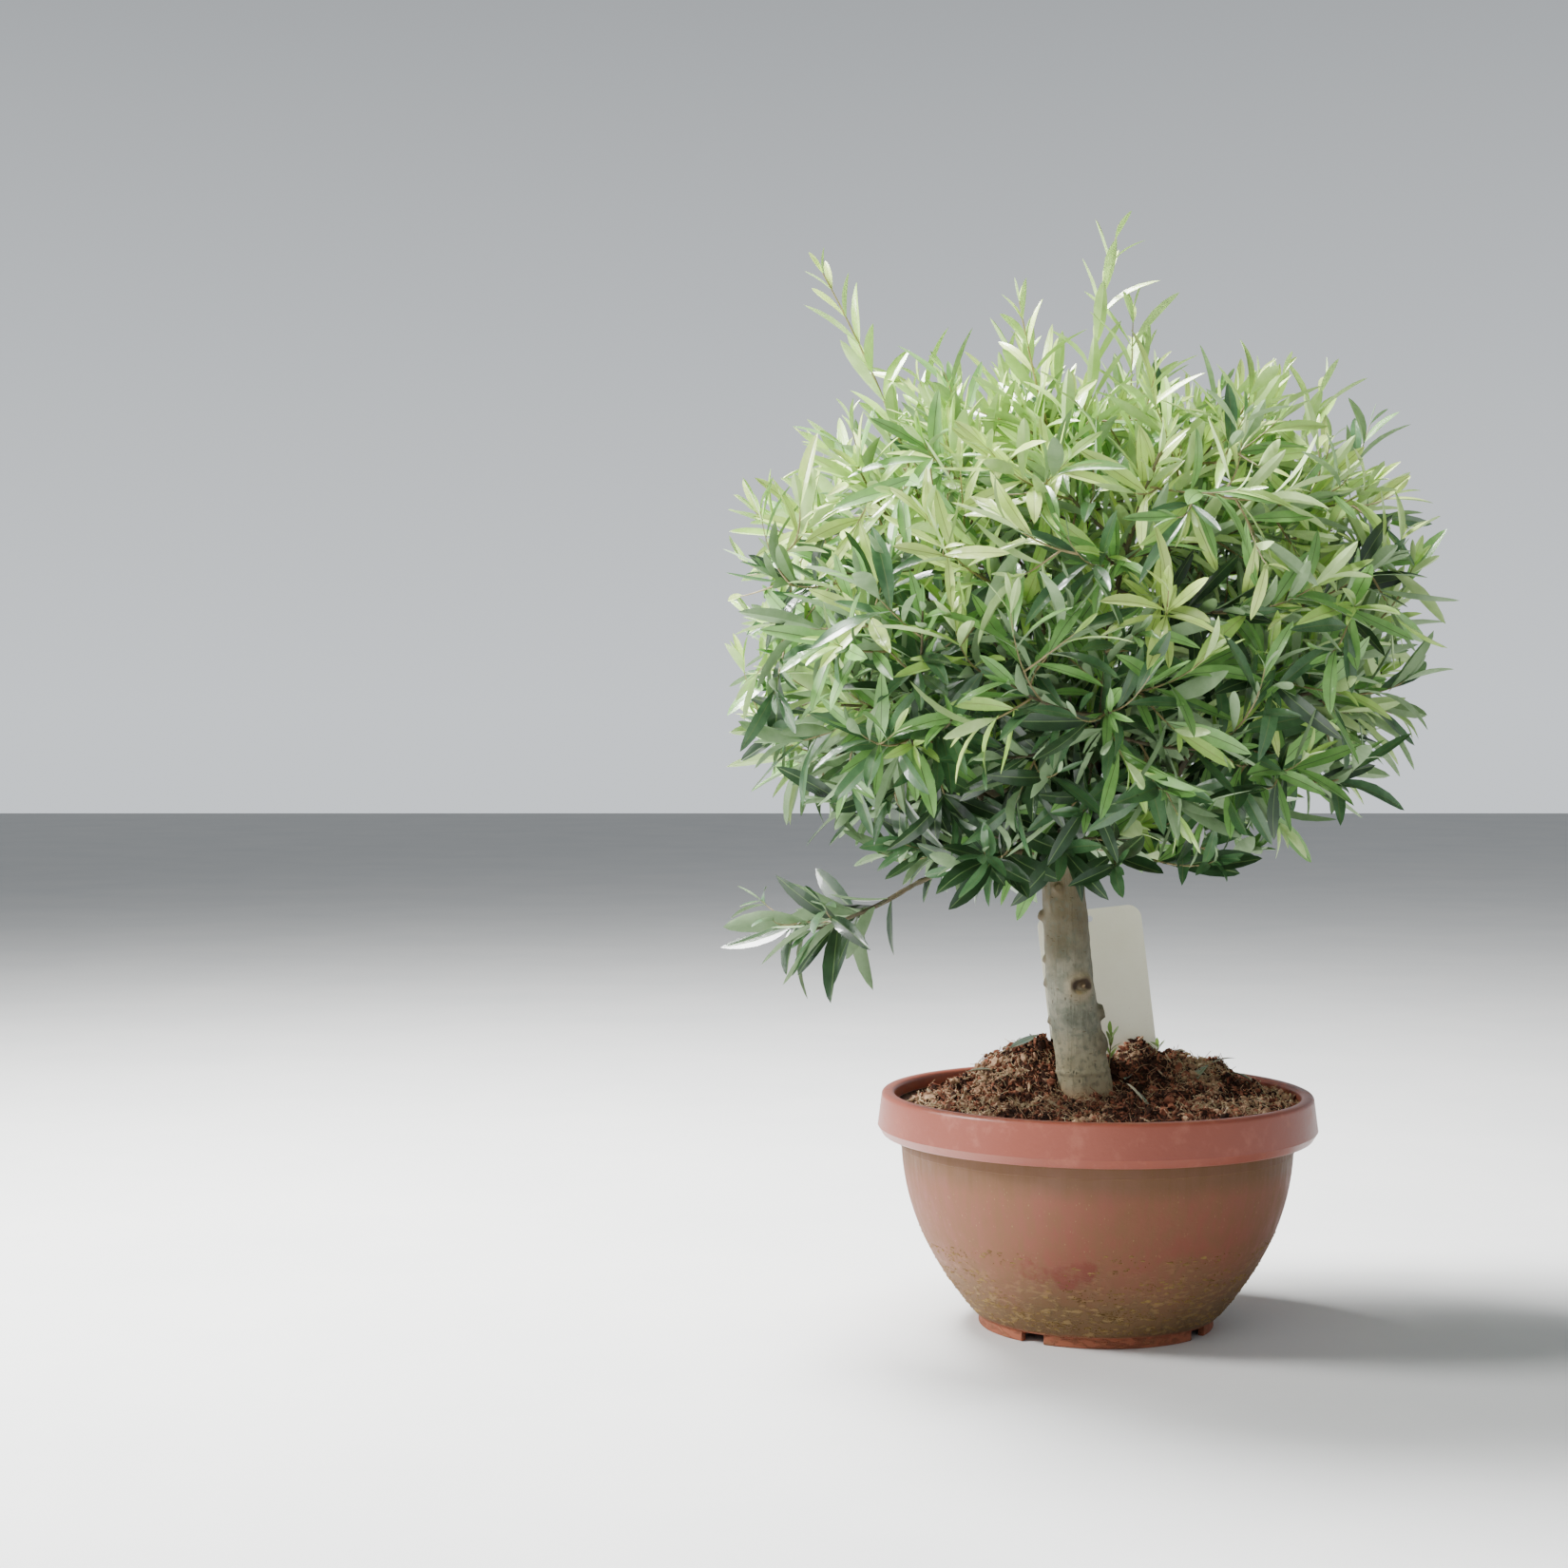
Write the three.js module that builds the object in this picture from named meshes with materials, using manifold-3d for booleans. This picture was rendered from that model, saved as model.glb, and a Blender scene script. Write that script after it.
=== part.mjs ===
// Olive bonsai in a bowl-shaped pot: pot, soil, trunk, boughs, masses of foliage and a bare label card.
// Millimetres, +Z up. The origin is the centre of the pot's underside, +X is to the right of the
// front view, and +Y goes away from it.
import * as THREE from "three";
import { mergeVertices } from "three/addons/utils/BufferGeometryUtils.js";
import Module from "manifold-3d";

const wasm = await Module();
wasm.setup();

// Clearance kept between any two sub-parts that touch on the real object.
const CLEARANCE = 0.3;
const WELD = 1e-3;

// Pot
const POT_WIDTH = 400;
const POT_HEIGHT = 213;
const POT_SIDES = 36;
const WALL = 3.5;
const BAND_HEIGHT = 39;
const BAND_OVERHANG = 18;
const BAND_TAPER = 3.5;
const BAND_WIDEST_RISE = 8;
const LIP_WIDTH = 12;
const LIP_ROUND = 4;
const LIP_EDGE_DROP = 1.2;
const LIP_EDGE_INSET = 2;
const LIP_DEPTH = 12;
const LIP_STEP = 1.5;
const FOOT_RADIUS = 107;
const FOOT_HEIGHT = 11;
const FOOT_WALL = 6;
const FLOOR_RISE = 6;
const FLOOR_THICKNESS = 4;
const FLOOR_FILLET_WIDTH = 9;
const FLOOR_FILLET_HEIGHT = 3;
const PAD_RADIUS = 22;
const NOTCH_WIDTH = 23;
const NOTCH_HEIGHT = 9;
const NOTCH_DEPTH = 24;
const NOTCH_COUNT = 4;
const FIRST_NOTCH = 232;
const DRAIN_HOLES = 4;
const DRAIN_RADIUS = 5;
const DRAIN_RING = 66;
const DRAIN_SIDES = 10;
const BOWL_STEPS = 6;
const BOWL_SWELL = 2.2;
const BOWL_FLARE = 2;
const BOWL_STEP_GROWTH = 1.3;

// Soil
const SOIL_EDGE_DROP = 8;
const SOIL_RINGS = 6;
const HEAP_HEIGHT = 48;
const HEAPS = [
  { x: -73, y: 48, spreadX: 46, spreadFront: 32, spreadBack: 52 },
  { x: 55, y: 48, spreadX: 58, spreadFront: 32, spreadBack: 52 },
];

// Trunk, by its centre line
const TRUNK_FOOT_Z = 206;
const TRUNK_LINE = [
  [-4, -1, 188],
  [-9, 0, 214],
  [-17, 1, 262],
  [-24, 2, 312],
  [-28, 3, 368],
  [-31, 4, 412],
  [-31, 5, 448],
];
const TRUNK_FOOT_RADIUS = 25;
const TRUNK_TOP_RADIUS = 18.5;
const ROOT_FLARE = 1.5;
const FLARE_START = 0.05;
const FLARE_LENGTH = 0.07;
const HEAD_SWELL = 5;
const HEAD_SWELL_ARC = 0.75;
const HEAD_START = 0.86;
const HEAD_ROUNDING = 4;
const HEAD_TOP_SHARE = 0.2;
const TRUNK_SIDES = 15;
const TRUNK_STEPS = 13;
// Cut stubs: share of the way up, direction round the trunk in degrees, radius and stand-out.
const STUBS = [
  { up: 0.48, round: 292, radius: 8.5, out: 1.6 },
  { up: 0.7, round: 176, radius: 5, out: 2.6 },
  { up: 0.33, round: 174, radius: 5, out: 2.6 },
  { up: 0.35, round: 354, radius: 7.5, out: 4 },
  { up: 0.6, round: 40, radius: 5, out: 2.4 },
  { up: 0.38, round: 98, radius: 6, out: 2.4 },
];
const STUB_SIDES = 7;
const STUB_TAPER = 0.72;

// Crown, as a rounded body that the foliage keeps to: fullness 2 is an ellipsoid, and more is fuller
const CROWN_CENTRE = new THREE.Vector3(-25, 0, 640);
const CROWN_RADII = new THREE.Vector3(326, 305, 222);
const HEAD = new THREE.Vector3(-31, 5, 440);
const CROWN_FULLNESS = 2.6;

// Boughs and the masses that they carry, tier by tier
const TIERS = [
  { name: "upper", count: 4, first: 192, ring: 158, height: 708, tipShare: 0.5, radii: [9.5, 5] },
  { name: "top", count: 1, first: 0, ring: 18, height: 795, tipShare: 0.45, radii: [10, 5] },
  { name: "lower", count: 6, first: 212, ring: 212, height: 545, tipShare: 0.4, radii: [6.5, 4] },
];
const LAYOUT_SEED = 7;
const FIRST_MASS_SEED = 31;
const MASS_SEED_STEP = 17;
// Eighths of a turn, from +X round to +Y and on
const SIDES_IN_WORDS = [
  "right",
  "back_right",
  "back",
  "back_left",
  "left",
  "front_left",
  "front",
  "front_right",
];
const CENTRE_WANDER = 14;
const BOUGH_BOW = 0.32;
const BOUGH_SAG = 0.16;
const BOUGH_SIDES = 7;
const BOUGH_STEPS = 5;
const SIDE_BOUGH_START = 0.3;
const SIDE_BOUGH_STAGGER = 0.12;
const SAMPLES_PER_STEP = 3;
const TRUNK_SAMPLES = 24;

// Low spray: the thin branch that hangs out to the front left under the crown
const SPRAY_TIP = new THREE.Vector3(-185, -70, 398);
const SPRAY_CENTRE = new THREE.Vector3(-262, -95, 368);
const SPRAY_RADII = [3.6, 2.4];
const SPRAY_ARCH = 28;
const SPRAY_LEAF_SIZE = 0.62;
const SPRAY_SEED = 13;

// Sprouts: short leafy stems straight from the trunk's head, round it
const SPROUTS = [
  { side: "front", turn: 262, reach: 118, rise: 22 },
  { side: "right", turn: 335, reach: 112, rise: 26 },
  { side: "back", turn: 78, reach: 116, rise: 20 },
  { side: "left", turn: 168, reach: 108, rise: 24 },
];
const SPROUT_DROP = 10;
const SPROUT_RADIUS = 2.6;
const SPROUT_HEADING_RISE = 0.2;
const SPROUT_CENTRE_SHARE = 0.62;
const SPROUT_LEAF_SIZE = 0.72;
const SPROUT_TWIGS = 3;
const SPROUT_SEED = 5;

// Upright shoots: tip, and the sideways bow of the shoot
const SHOOTS = [
  { mass: "foliage_upper_left", tip: [-262, -30, 982], bow: [24, 0, 0] },
  { mass: "foliage_top", tip: [20, -12, 1030], bow: [-14, 4, 0] },
  { mass: "foliage_top", tip: [-84, -46, 955], bow: [-10, -4, 0] },
  { mass: "foliage_top", tip: [62, 62, 925], bow: [12, 10, 0] },
  { mass: "foliage_upper_right", tip: [176, -20, 892], bow: [14, 0, 0] },
  { mass: "foliage_upper_back", tip: [-60, 168, 905], bow: [0, 16, 0] },
];

// Twigs and leaves
const STEM_RADIUS = 3.4;
const STEM_STEP = 0.4;
const STEM_REACH = 0.5;
const STEM_LEAD = 0.45;
const STEM_PLACES = 20;
const STEM_STEPS = 3;
const TWIG_RADIUS = 2;
const TWIG_TIP_RADIUS = 1.1;
const TWIG_SIDES = 3;
const TWIG_STEPS = 2;
const TWIG_STARTS = [0.1, 0.9];
const SHOOT_START = 0.45;
const SHOOT_STEPS = 4;
const TWIGS_PER_MASS = 9;
const TIP_CANDIDATES = 14;
const TIP_DEPTHS = [0.3, 0.88];
const TWIG_BACKSET = 0.55;
const TWIG_SAG = 0.12;
const LEAF_LENGTH = 102;
const LEAF_WIDTH = 26;
const LEAF_THICKNESS = 1.8;
const LEAF_BELLY = 0.45;
const LEAF_SPLAY = 50;
const LEAF_SPLAY_FALL = 0.6;
const LAST_LEAF_SHARE = 0.985;
const TIP_LEAF_REACH = 0.9;
const LEAF_PITCH = 42;
const LEAF_SIZES = [1, 0.85, 0.7];
const LEAF_TURNS = [0, 30, -30, 60, -60];
const LEAF_SPACING = 50;
const LEAF_ROOT_SINK = 0.6;
const LEAF_FACE_RISE = 0.25;
const LEAST_FACE = 0.1;
const BARE_SHARE = 0.25;
const SHOOT_LEAF_SIZE = 0.66;
const CELL_MARGIN = 0.6;
const LIMB_MARGIN = 1;
// A leaf's corners are its root, left edge, tip, right edge and the ridge over its flat lower face.
const LEAF_CORNERS = [0, -1, 0, 0, 1, 0, -1, 0, 0, 1, 0, 0, 0, 0, 1];
const LEAF_FACES = [0, 3, 4, 3, 1, 4, 1, 2, 4, 2, 0, 4, 0, 2, 1, 0, 1, 3];

// Label card
const CARD_WIDTH = 98;
const CARD_LENGTH = 204;
const CARD_THICKNESS = 1;
const CARD_CORNER = 13;
const CARD_CORNER_STEPS = 5;
const CARD_HOLE_RADIUS = 3;
const CARD_HOLE_DROP = 9;
const CARD_PLACE = new THREE.Vector3(23, 57, 172);
const CARD_ROLL = -6.5;
const CARD_LEAN = 3;

const UP = new THREE.Vector3(0, 0, 1);
const ACROSS = new THREE.Vector3(1, 0, 0);
const UPRIGHT = 0.9;
const NEAR = 1;
const { degToRad: toRadians, radToDeg: toDegrees, lerp, clamp } = THREE.MathUtils;

const materials = {
  terracotta: new THREE.MeshStandardMaterial({ color: 0xc08066, roughness: 0.6 }),
  soil: new THREE.MeshStandardMaterial({ color: 0x4a2f24, roughness: 1 }),
  bark: new THREE.MeshStandardMaterial({ color: 0xa79c86, roughness: 0.85 }),
  leaf: new THREE.MeshStandardMaterial({ color: 0x6f8f5c, roughness: 0.55 }),
  card: new THREE.MeshStandardMaterial({ color: 0xe6e1d0, roughness: 0.5 }),
};

function seededRandom(seed) {
  let state = seed >>> 0;
  return () => {
    state = (Math.imul(state, 1664525) + 1013904223) >>> 0;
    return state / 2 ** 32;
  };
}

function around(degrees, radius, height) {
  const angle = toRadians(degrees);
  return new THREE.Vector3(radius * Math.cos(angle), radius * Math.sin(angle), height);
}

function solidFrom(geometry) {
  const bare = geometry.index ? geometry.toNonIndexed() : geometry.clone();
  bare.deleteAttribute("normal");
  bare.deleteAttribute("uv");
  const welded = mergeVertices(bare, WELD);
  return new wasm.Manifold(
    new wasm.Mesh({
      numProp: 3,
      vertProperties: welded.attributes.position.array,
      triVerts: new Uint32Array(welded.index.array),
    }),
  );
}

function meshFrom(name, solid, material) {
  const { numProp, numVert, vertProperties, triVerts } = solid.getMesh();
  const places = new Float32Array(numVert * 3);
  for (let i = 0; i < numVert; i++) {
    places.set(vertProperties.subarray(i * numProp, i * numProp + 3), i * 3);
  }
  const geometry = new THREE.BufferGeometry();
  geometry.setAttribute("position", new THREE.BufferAttribute(places, 3));
  geometry.setIndex(new THREE.BufferAttribute(triVerts, 1));
  geometry.computeVertexNormals();
  const mesh = new THREE.Mesh(geometry, material);
  mesh.name = name;
  return mesh;
}

// The largest closed body of a solid: loose scraps and the walls of sealed hollows are dropped.
function largestBody(solid) {
  const bodies = solid.decompose();
  return bodies.reduce((best, body) => (body.volume() > best.volume() ? body : best));
}

// A profile of [radius, height] pairs turned round the Z axis.
function turned(profile, sides) {
  const points = profile.map(([radius, height]) => new THREE.Vector2(radius, height));
  return new THREE.LatheGeometry(points, sides).rotateX(Math.PI / 2);
}

// A tapering round limb: a cylinder whose rings are laid along a curve. Extra thickens and lengthens it.
function limbGeometry(curve, radiusAt, sides, steps, extra = 0) {
  const limb = new THREE.CylinderGeometry(1, 1, 1, sides, steps);
  const frames = curve.computeFrenetFrames(steps);
  const places = limb.attributes.position;
  for (let i = 0; i < places.count; i++) {
    const step = Math.round((places.getY(i) + 0.5) * steps);
    const radius = radiusAt(step / steps) + extra;
    const lengthening = step === steps ? extra : step === 0 ? -extra : 0;
    const place = curve
      .getPointAt(step / steps)
      .addScaledVector(frames.binormals[step], places.getX(i) * radius)
      .addScaledVector(frames.normals[step], places.getZ(i) * radius)
      .addScaledVector(frames.tangents[step], lengthening);
    places.setXYZ(i, place.x, place.y, place.z);
  }
  return limb;
}

// Pot

const potRadius = POT_WIDTH / 2;
const bandRadius = potRadius - BAND_TAPER;
const bandFootZ = POT_HEIGHT - BAND_HEIGHT;
const wallTopRadius = bandRadius - BAND_OVERHANG;
const footTopRadius = FOOT_RADIUS + BAND_TAPER;

function bowlRadius(height) {
  const share = (height - FOOT_HEIGHT) / (bandFootZ - FOOT_HEIGHT);
  const swell = 1 - (1 - share) ** BOWL_SWELL;
  return footTopRadius + (wallTopRadius - footTopRadius - BOWL_FLARE) * swell + BOWL_FLARE * share;
}

// Points of the bowl's wall from foot to band, set in from the outer face by a depth.
function bowlWall(depth) {
  const points = [];
  for (let i = 0; i <= BOWL_STEPS; i++) {
    const height = lerp(FOOT_HEIGHT, bandFootZ, (i / BOWL_STEPS) ** BOWL_STEP_GROWTH);
    const slope = (bowlRadius(Math.min(height + NEAR, bandFootZ)) - bowlRadius(height - NEAR)) / 2 / NEAR;
    const length = Math.hypot(1, slope);
    points.push([bowlRadius(height) - depth / length, height + (depth * slope) / length]);
  }
  return points;
}

const floorTopZ = FLOOR_RISE + FLOOR_THICKNESS;
const innerFootZ = floorTopZ + FLOOR_FILLET_HEIGHT;
const lipInnerRadius = bandRadius - LIP_WIDTH;
const lipShoulderZ = POT_HEIGHT - LIP_ROUND;
const lipEdgeZ = POT_HEIGHT - LIP_EDGE_DROP;
const innerTopRadius = wallTopRadius - WALL;

// The inside of the pot from its floor to where the band begins, moved inwards by a gap.
function innerWall(gap) {
  const wall = bowlWall(WALL + gap).filter(([, height]) => height > innerFootZ + gap);
  return [[wall[0][0] - FLOOR_FILLET_WIDTH, floorTopZ + gap], ...wall];
}

function makePot() {
  const profile = [
    [0, 0],
    [PAD_RADIUS, 0],
    [PAD_RADIUS, FLOOR_RISE],
    [FOOT_RADIUS - FOOT_WALL, FLOOR_RISE],
    [FOOT_RADIUS - FOOT_WALL, 0],
    [FOOT_RADIUS, 0],
    ...bowlWall(0),
    [bandRadius, bandFootZ],
    [potRadius, bandFootZ + BAND_WIDEST_RISE],
    [bandRadius, lipShoulderZ],
    [bandRadius - LIP_EDGE_INSET, lipEdgeZ],
    [bandRadius - LIP_WIDTH / 2, POT_HEIGHT],
    [lipInnerRadius + LIP_EDGE_INSET, lipEdgeZ],
    [lipInnerRadius, lipShoulderZ],
    [innerTopRadius + LIP_STEP, lipShoulderZ - LIP_DEPTH],
    ...innerWall(0).reverse(),
    [0, floorTopZ],
  ];
  let pot = solidFrom(turned(profile, POT_SIDES));
  for (let i = 0; i < NOTCH_COUNT; i++) {
    const turn = FIRST_NOTCH + (360 / NOTCH_COUNT) * i;
    const notch = new THREE.BoxGeometry(NOTCH_DEPTH, NOTCH_WIDTH, 2 * NOTCH_HEIGHT);
    const place = around(turn, FOOT_RADIUS, 0);
    notch.rotateZ(toRadians(turn)).translate(place.x, place.y, place.z);
    pot = pot.subtract(solidFrom(notch));
  }
  for (let i = 0; i < DRAIN_HOLES; i++) {
    const hole = new THREE.CylinderGeometry(DRAIN_RADIUS, DRAIN_RADIUS, 4 * floorTopZ, DRAIN_SIDES);
    const place = around((360 / DRAIN_HOLES) * (i + 0.5), DRAIN_RING, 0);
    hole.rotateX(Math.PI / 2).translate(place.x, place.y, place.z);
    pot = pot.subtract(solidFrom(hole));
  }
  return pot;
}

// Soil

const soilEdgeZ = POT_HEIGHT - SOIL_EDGE_DROP;

function soilHeight(x, y) {
  let height = soilEdgeZ;
  for (const heap of HEAPS) {
    const across = (x - heap.x) / heap.spreadX;
    const along = (y - heap.y) / (y < heap.y ? heap.spreadFront : heap.spreadBack);
    height += HEAP_HEIGHT * Math.exp(-(across ** 2 + along ** 2) / 2);
  }
  return height;
}

function makeSoil() {
  const wall = innerWall(CLEARANCE);
  const edgeRadius = wall.at(-1)[0];
  const coarseWall = wall.filter((_, i) => i % 2 === 0);
  const profile = [[0, floorTopZ + CLEARANCE], ...coarseWall, [edgeRadius, soilEdgeZ]];
  for (let ring = SOIL_RINGS - 1; ring >= 0; ring--) {
    profile.push([(edgeRadius * ring) / SOIL_RINGS, soilEdgeZ]);
  }
  const soil = turned(profile, POT_SIDES);
  const places = soil.attributes.position;
  for (let i = 0; i < places.count; i++) {
    const onTop = Math.abs(places.getZ(i) - soilEdgeZ) < NEAR;
    const atEdge = Math.hypot(places.getX(i), places.getY(i)) > edgeRadius - NEAR;
    if (onTop && !atEdge) {
      places.setZ(i, soilHeight(places.getX(i), places.getY(i)));
    }
  }
  return solidFrom(soil);
}

// Trunk

const trunkCurve = new THREE.CatmullRomCurve3(TRUNK_LINE.map((point) => new THREE.Vector3(...point)));

function trunkRadius(share) {
  const taper = lerp(TRUNK_FOOT_RADIUS, TRUNK_TOP_RADIUS, share);
  const flare = ROOT_FLARE * Math.exp(-Math.max(share - FLARE_START, 0) / FLARE_LENGTH);
  if (share <= HEAD_START) {
    return taper + flare;
  }
  const inHead = (share - HEAD_START) / (1 - HEAD_START);
  const swell = HEAD_SWELL * Math.sin(inHead * Math.PI * HEAD_SWELL_ARC);
  const dome = Math.max(Math.sqrt(1 - inHead ** HEAD_ROUNDING), HEAD_TOP_SHARE);
  return (taper + swell) * dome;
}

function makeTrunk(extra) {
  let trunk = solidFrom(limbGeometry(trunkCurve, trunkRadius, TRUNK_SIDES, TRUNK_STEPS, extra));
  for (const stub of STUBS) {
    const wide = stub.radius + extra;
    const knob = new THREE.CylinderGeometry(wide * STUB_TAPER, wide, 2 * stub.out + extra, STUB_SIDES);
    knob.rotateZ(-Math.PI / 2).rotateZ(toRadians(stub.round));
    const place = trunkCurve.getPointAt(stub.up);
    place.add(around(stub.round, trunkRadius(stub.up) + extra / 2, 0));
    knob.translate(place.x, place.y, place.z);
    trunk = trunk.add(solidFrom(knob));
  }
  const below = new THREE.BoxGeometry(POT_WIDTH, POT_WIDTH, TRUNK_FOOT_Z);
  below.translate(0, 0, TRUNK_FOOT_Z / 2 - extra);
  return largestBody(trunk.subtract(solidFrom(below)));
}

// Boughs

// Every bough is kept as its curve and radii, for cutting its neighbours clear and keeping leaves off.
function makeBough(name, curve, radii) {
  const radiusAt = (share) => lerp(...radii, share);
  const samples = curve.getPoints(BOUGH_STEPS * SAMPLES_PER_STEP).map((point, i, all) => ({
    point,
    radius: radiusAt(i / (all.length - 1)),
  }));
  const solid = (extra) => solidFrom(limbGeometry(curve, radiusAt, BOUGH_SIDES, BOUGH_STEPS, extra));
  return { name, curve, radiusAt, samples, solid };
}

function sideName(centre) {
  const angle = toDegrees(Math.atan2(centre.y - HEAD.y, centre.x - HEAD.x));
  return SIDES_IN_WORDS[Math.round(angle / 45 + 8) % 8];
}

// A curved line that leaves its carrier outwards and then bends upwards.
function boughLine(from, to) {
  const middle = from.clone().lerp(to, 0.5);
  const outward = new THREE.Vector3(to.x - from.x, to.y - from.y, 0);
  middle.addScaledVector(outward, BOUGH_BOW);
  middle.z -= from.distanceTo(to) * BOUGH_SAG;
  return new THREE.QuadraticBezierCurve3(from, middle, to);
}

function nearestBough(boughs, centre) {
  const gap = (bough) => bough.curve.v2.distanceTo(centre);
  return boughs.reduce((best, bough) => (gap(bough) < gap(best) ? bough : best));
}

// Where a mass's stem meets the tip of its bough.
function rootOn(bough) {
  const heading = bough.curve.getTangent(1);
  const root = bough.curve.v2.clone().addScaledVector(heading, -STEM_RADIUS);
  const radius = Math.min(STEM_RADIUS, bough.radiusAt(1) - STEM_STEP);
  return { root, heading, radius, leafSize: 1, stemReach: STEM_REACH };
}

function layOutTiers() {
  const random = seededRandom(LAYOUT_SEED);
  const wander = () => (2 * random() - 1) * CENTRE_WANDER;
  const boughs = [];
  const masses = [];
  for (const tier of TIERS) {
    const carriers = boughs.filter((bough) => bough.tier === "upper");
    for (let i = 0; i < tier.count; i++) {
      const turn = tier.first + (360 / tier.count) * i;
      const centre = around(turn, tier.ring, tier.height);
      centre.add(new THREE.Vector3(CROWN_CENTRE.x + wander(), CROWN_CENTRE.y + wander(), wander()));
      const side = tier.count === 1 ? tier.name : `${tier.name}_${sideName(centre)}`;
      const carrier = tier.name === "lower" ? nearestBough(carriers, centre) : null;
      const share = SIDE_BOUGH_START + SIDE_BOUGH_STAGGER * (i % 2);
      const start = carrier ? carrier.curve.getPoint(share) : HEAD.clone();
      const tip = start.clone().lerp(centre, tier.tipShare);
      const bough = makeBough(`bough_${side}`, boughLine(start, tip), tier.radii);
      bough.tier = tier.name;
      boughs.push(bough);
      const seed = FIRST_MASS_SEED + MASS_SEED_STEP * masses.length;
      masses.push({ ...rootOn(bough), name: `foliage_${side}`, centre, seed, twigCount: TWIGS_PER_MASS });
    }
  }
  return { boughs, masses };
}

const sproutRoot = HEAD.clone().setZ(HEAD.z - SPROUT_DROP);

function laySpray() {
  const middle = sproutRoot.clone().lerp(SPRAY_TIP, 0.5);
  middle.z += SPRAY_ARCH;
  const curve = new THREE.QuadraticBezierCurve3(sproutRoot, middle, SPRAY_TIP);
  const bough = makeBough("bough_low_spray", curve, SPRAY_RADII);
  const mass = {
    ...rootOn(bough),
    name: "foliage_low_spray",
    centre: SPRAY_CENTRE,
    seed: SPRAY_SEED,
    twigCount: 0,
    leafSize: SPRAY_LEAF_SIZE,
    stemReach: 0,
    hangsLow: true,
  };
  return { bough, mass };
}

function laySprout(sprout) {
  const centre = sproutRoot.clone().add(around(sprout.turn, sprout.reach * SPROUT_CENTRE_SHARE, sprout.rise));
  return {
    name: `foliage_sprout_${sprout.side}`,
    root: sproutRoot,
    heading: around(sprout.turn, 1, SPROUT_HEADING_RISE).normalize(),
    centre,
    radius: SPROUT_RADIUS,
    seed: SPROUT_SEED + sprout.turn,
    twigCount: SPROUT_TWIGS,
    leafSize: SPROUT_LEAF_SIZE,
    stemReach: STEM_REACH,
  };
}

const trunkRoom = makeTrunk(CLEARANCE);
const tiers = layOutTiers();
const spray = laySpray();
const sprouts = SPROUTS.map(laySprout);
const boughs = [...tiers.boughs, spray.bough];
const masses = [...tiers.masses, spray.mass, ...sprouts];

// Each bough is cut clear of the trunk and of the boughs made before it, so it starts at their skin.
let limbRoom = trunkRoom;
const boughSolids = boughs.map((bough) => {
  const solid = largestBody(bough.solid(0).subtract(limbRoom));
  limbRoom = limbRoom.add(bough.solid(CLEARANCE));
  return solid;
});

const trunkSamples = trunkCurve.getSpacedPoints(TRUNK_SAMPLES).map((point, i) => ({
  point,
  radius: trunkRadius(i / TRUNK_SAMPLES) + HEAD_SWELL / 2,
}));
const limbSamples = [trunkSamples, ...boughs.map((bough) => bough.samples)].flat();

// Foliage

// A point is in a mass's own space where no other mass's centre is nearer.
function inOwnSpace(mass, point) {
  const own = point.distanceToSquared(mass.centre);
  return masses.every((other) => {
    if (other === mass) {
      return true;
    }
    const toWall = (point.distanceToSquared(other.centre) - own) / 2 / mass.centre.distanceTo(other.centre);
    return toWall > CELL_MARGIN;
  });
}

// How far out a point is: 0 at the crown's centre, 1 on its skin, which is fuller than an ellipsoid's.
function crownDepth(point) {
  const away = point.clone().sub(CROWN_CENTRE).divide(CROWN_RADII);
  const sum = away.toArray().reduce((total, part) => total + Math.abs(part) ** CROWN_FULLNESS, 0);
  return sum ** (1 / CROWN_FULLNESS);
}

function clearOfLimbs(point, width) {
  return limbSamples.every((sample) => sample.point.distanceTo(point) - sample.radius - width > LIMB_MARGIN);
}

// A point inside a mass's own space, between two depths of the crown.
function pointInMass(mass, random) {
  for (;;) {
    const away = new THREE.Vector3(2 * random() - 1, 2 * random() - 1, 2 * random() - 1);
    const point = away.multiply(CROWN_RADII).add(CROWN_CENTRE);
    const depth = crownDepth(point);
    if (depth > TIP_DEPTHS[0] && depth < TIP_DEPTHS[1] && inOwnSpace(mass, point)) {
      return point;
    }
  }
}

// Of a few points in the mass's space, the one farthest from the twig tips that are there already.
function nextTip(mass, tips, random) {
  let best = { gap: -1 };
  for (let i = 0; i < TIP_CANDIDATES; i++) {
    const point = pointInMass(mass, random);
    const gap = Math.min(...tips.map((tip) => tip.distanceTo(point)));
    best = gap > best.gap ? { gap, point } : best;
  }
  return best.point;
}

// A twig leaves the stem well below its tip, sags a little and turns up again.
function twigTo(stemCurve, tip) {
  const gaps = stemCurve.getPoints(STEM_PLACES).map((place) => place.distanceTo(tip));
  const nearest = gaps.indexOf(Math.min(...gaps));
  const share = nearest / STEM_PLACES - (TWIG_BACKSET * gaps[nearest]) / stemCurve.getLength();
  const start = stemCurve.getPoint(clamp(share, ...TWIG_STARTS));
  const middle = start.clone().lerp(tip, 0.5);
  middle.z -= TWIG_SAG * start.distanceTo(tip);
  return new THREE.QuadraticBezierCurve3(start, middle, tip);
}

// A direction leaned away from an axis by a splay, turned about the axis.
function leanedFrom(axis, splay, turn) {
  const level = Math.abs(axis.z) < UPRIGHT ? UP : ACROSS;
  const side = new THREE.Vector3().crossVectors(axis, level);
  side.normalize().applyAxisAngle(axis, toRadians(turn));
  const leaned = axis.clone().multiplyScalar(Math.cos(toRadians(splay)));
  return leaned.addScaledVector(side, Math.sin(toRadians(splay)));
}

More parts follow.
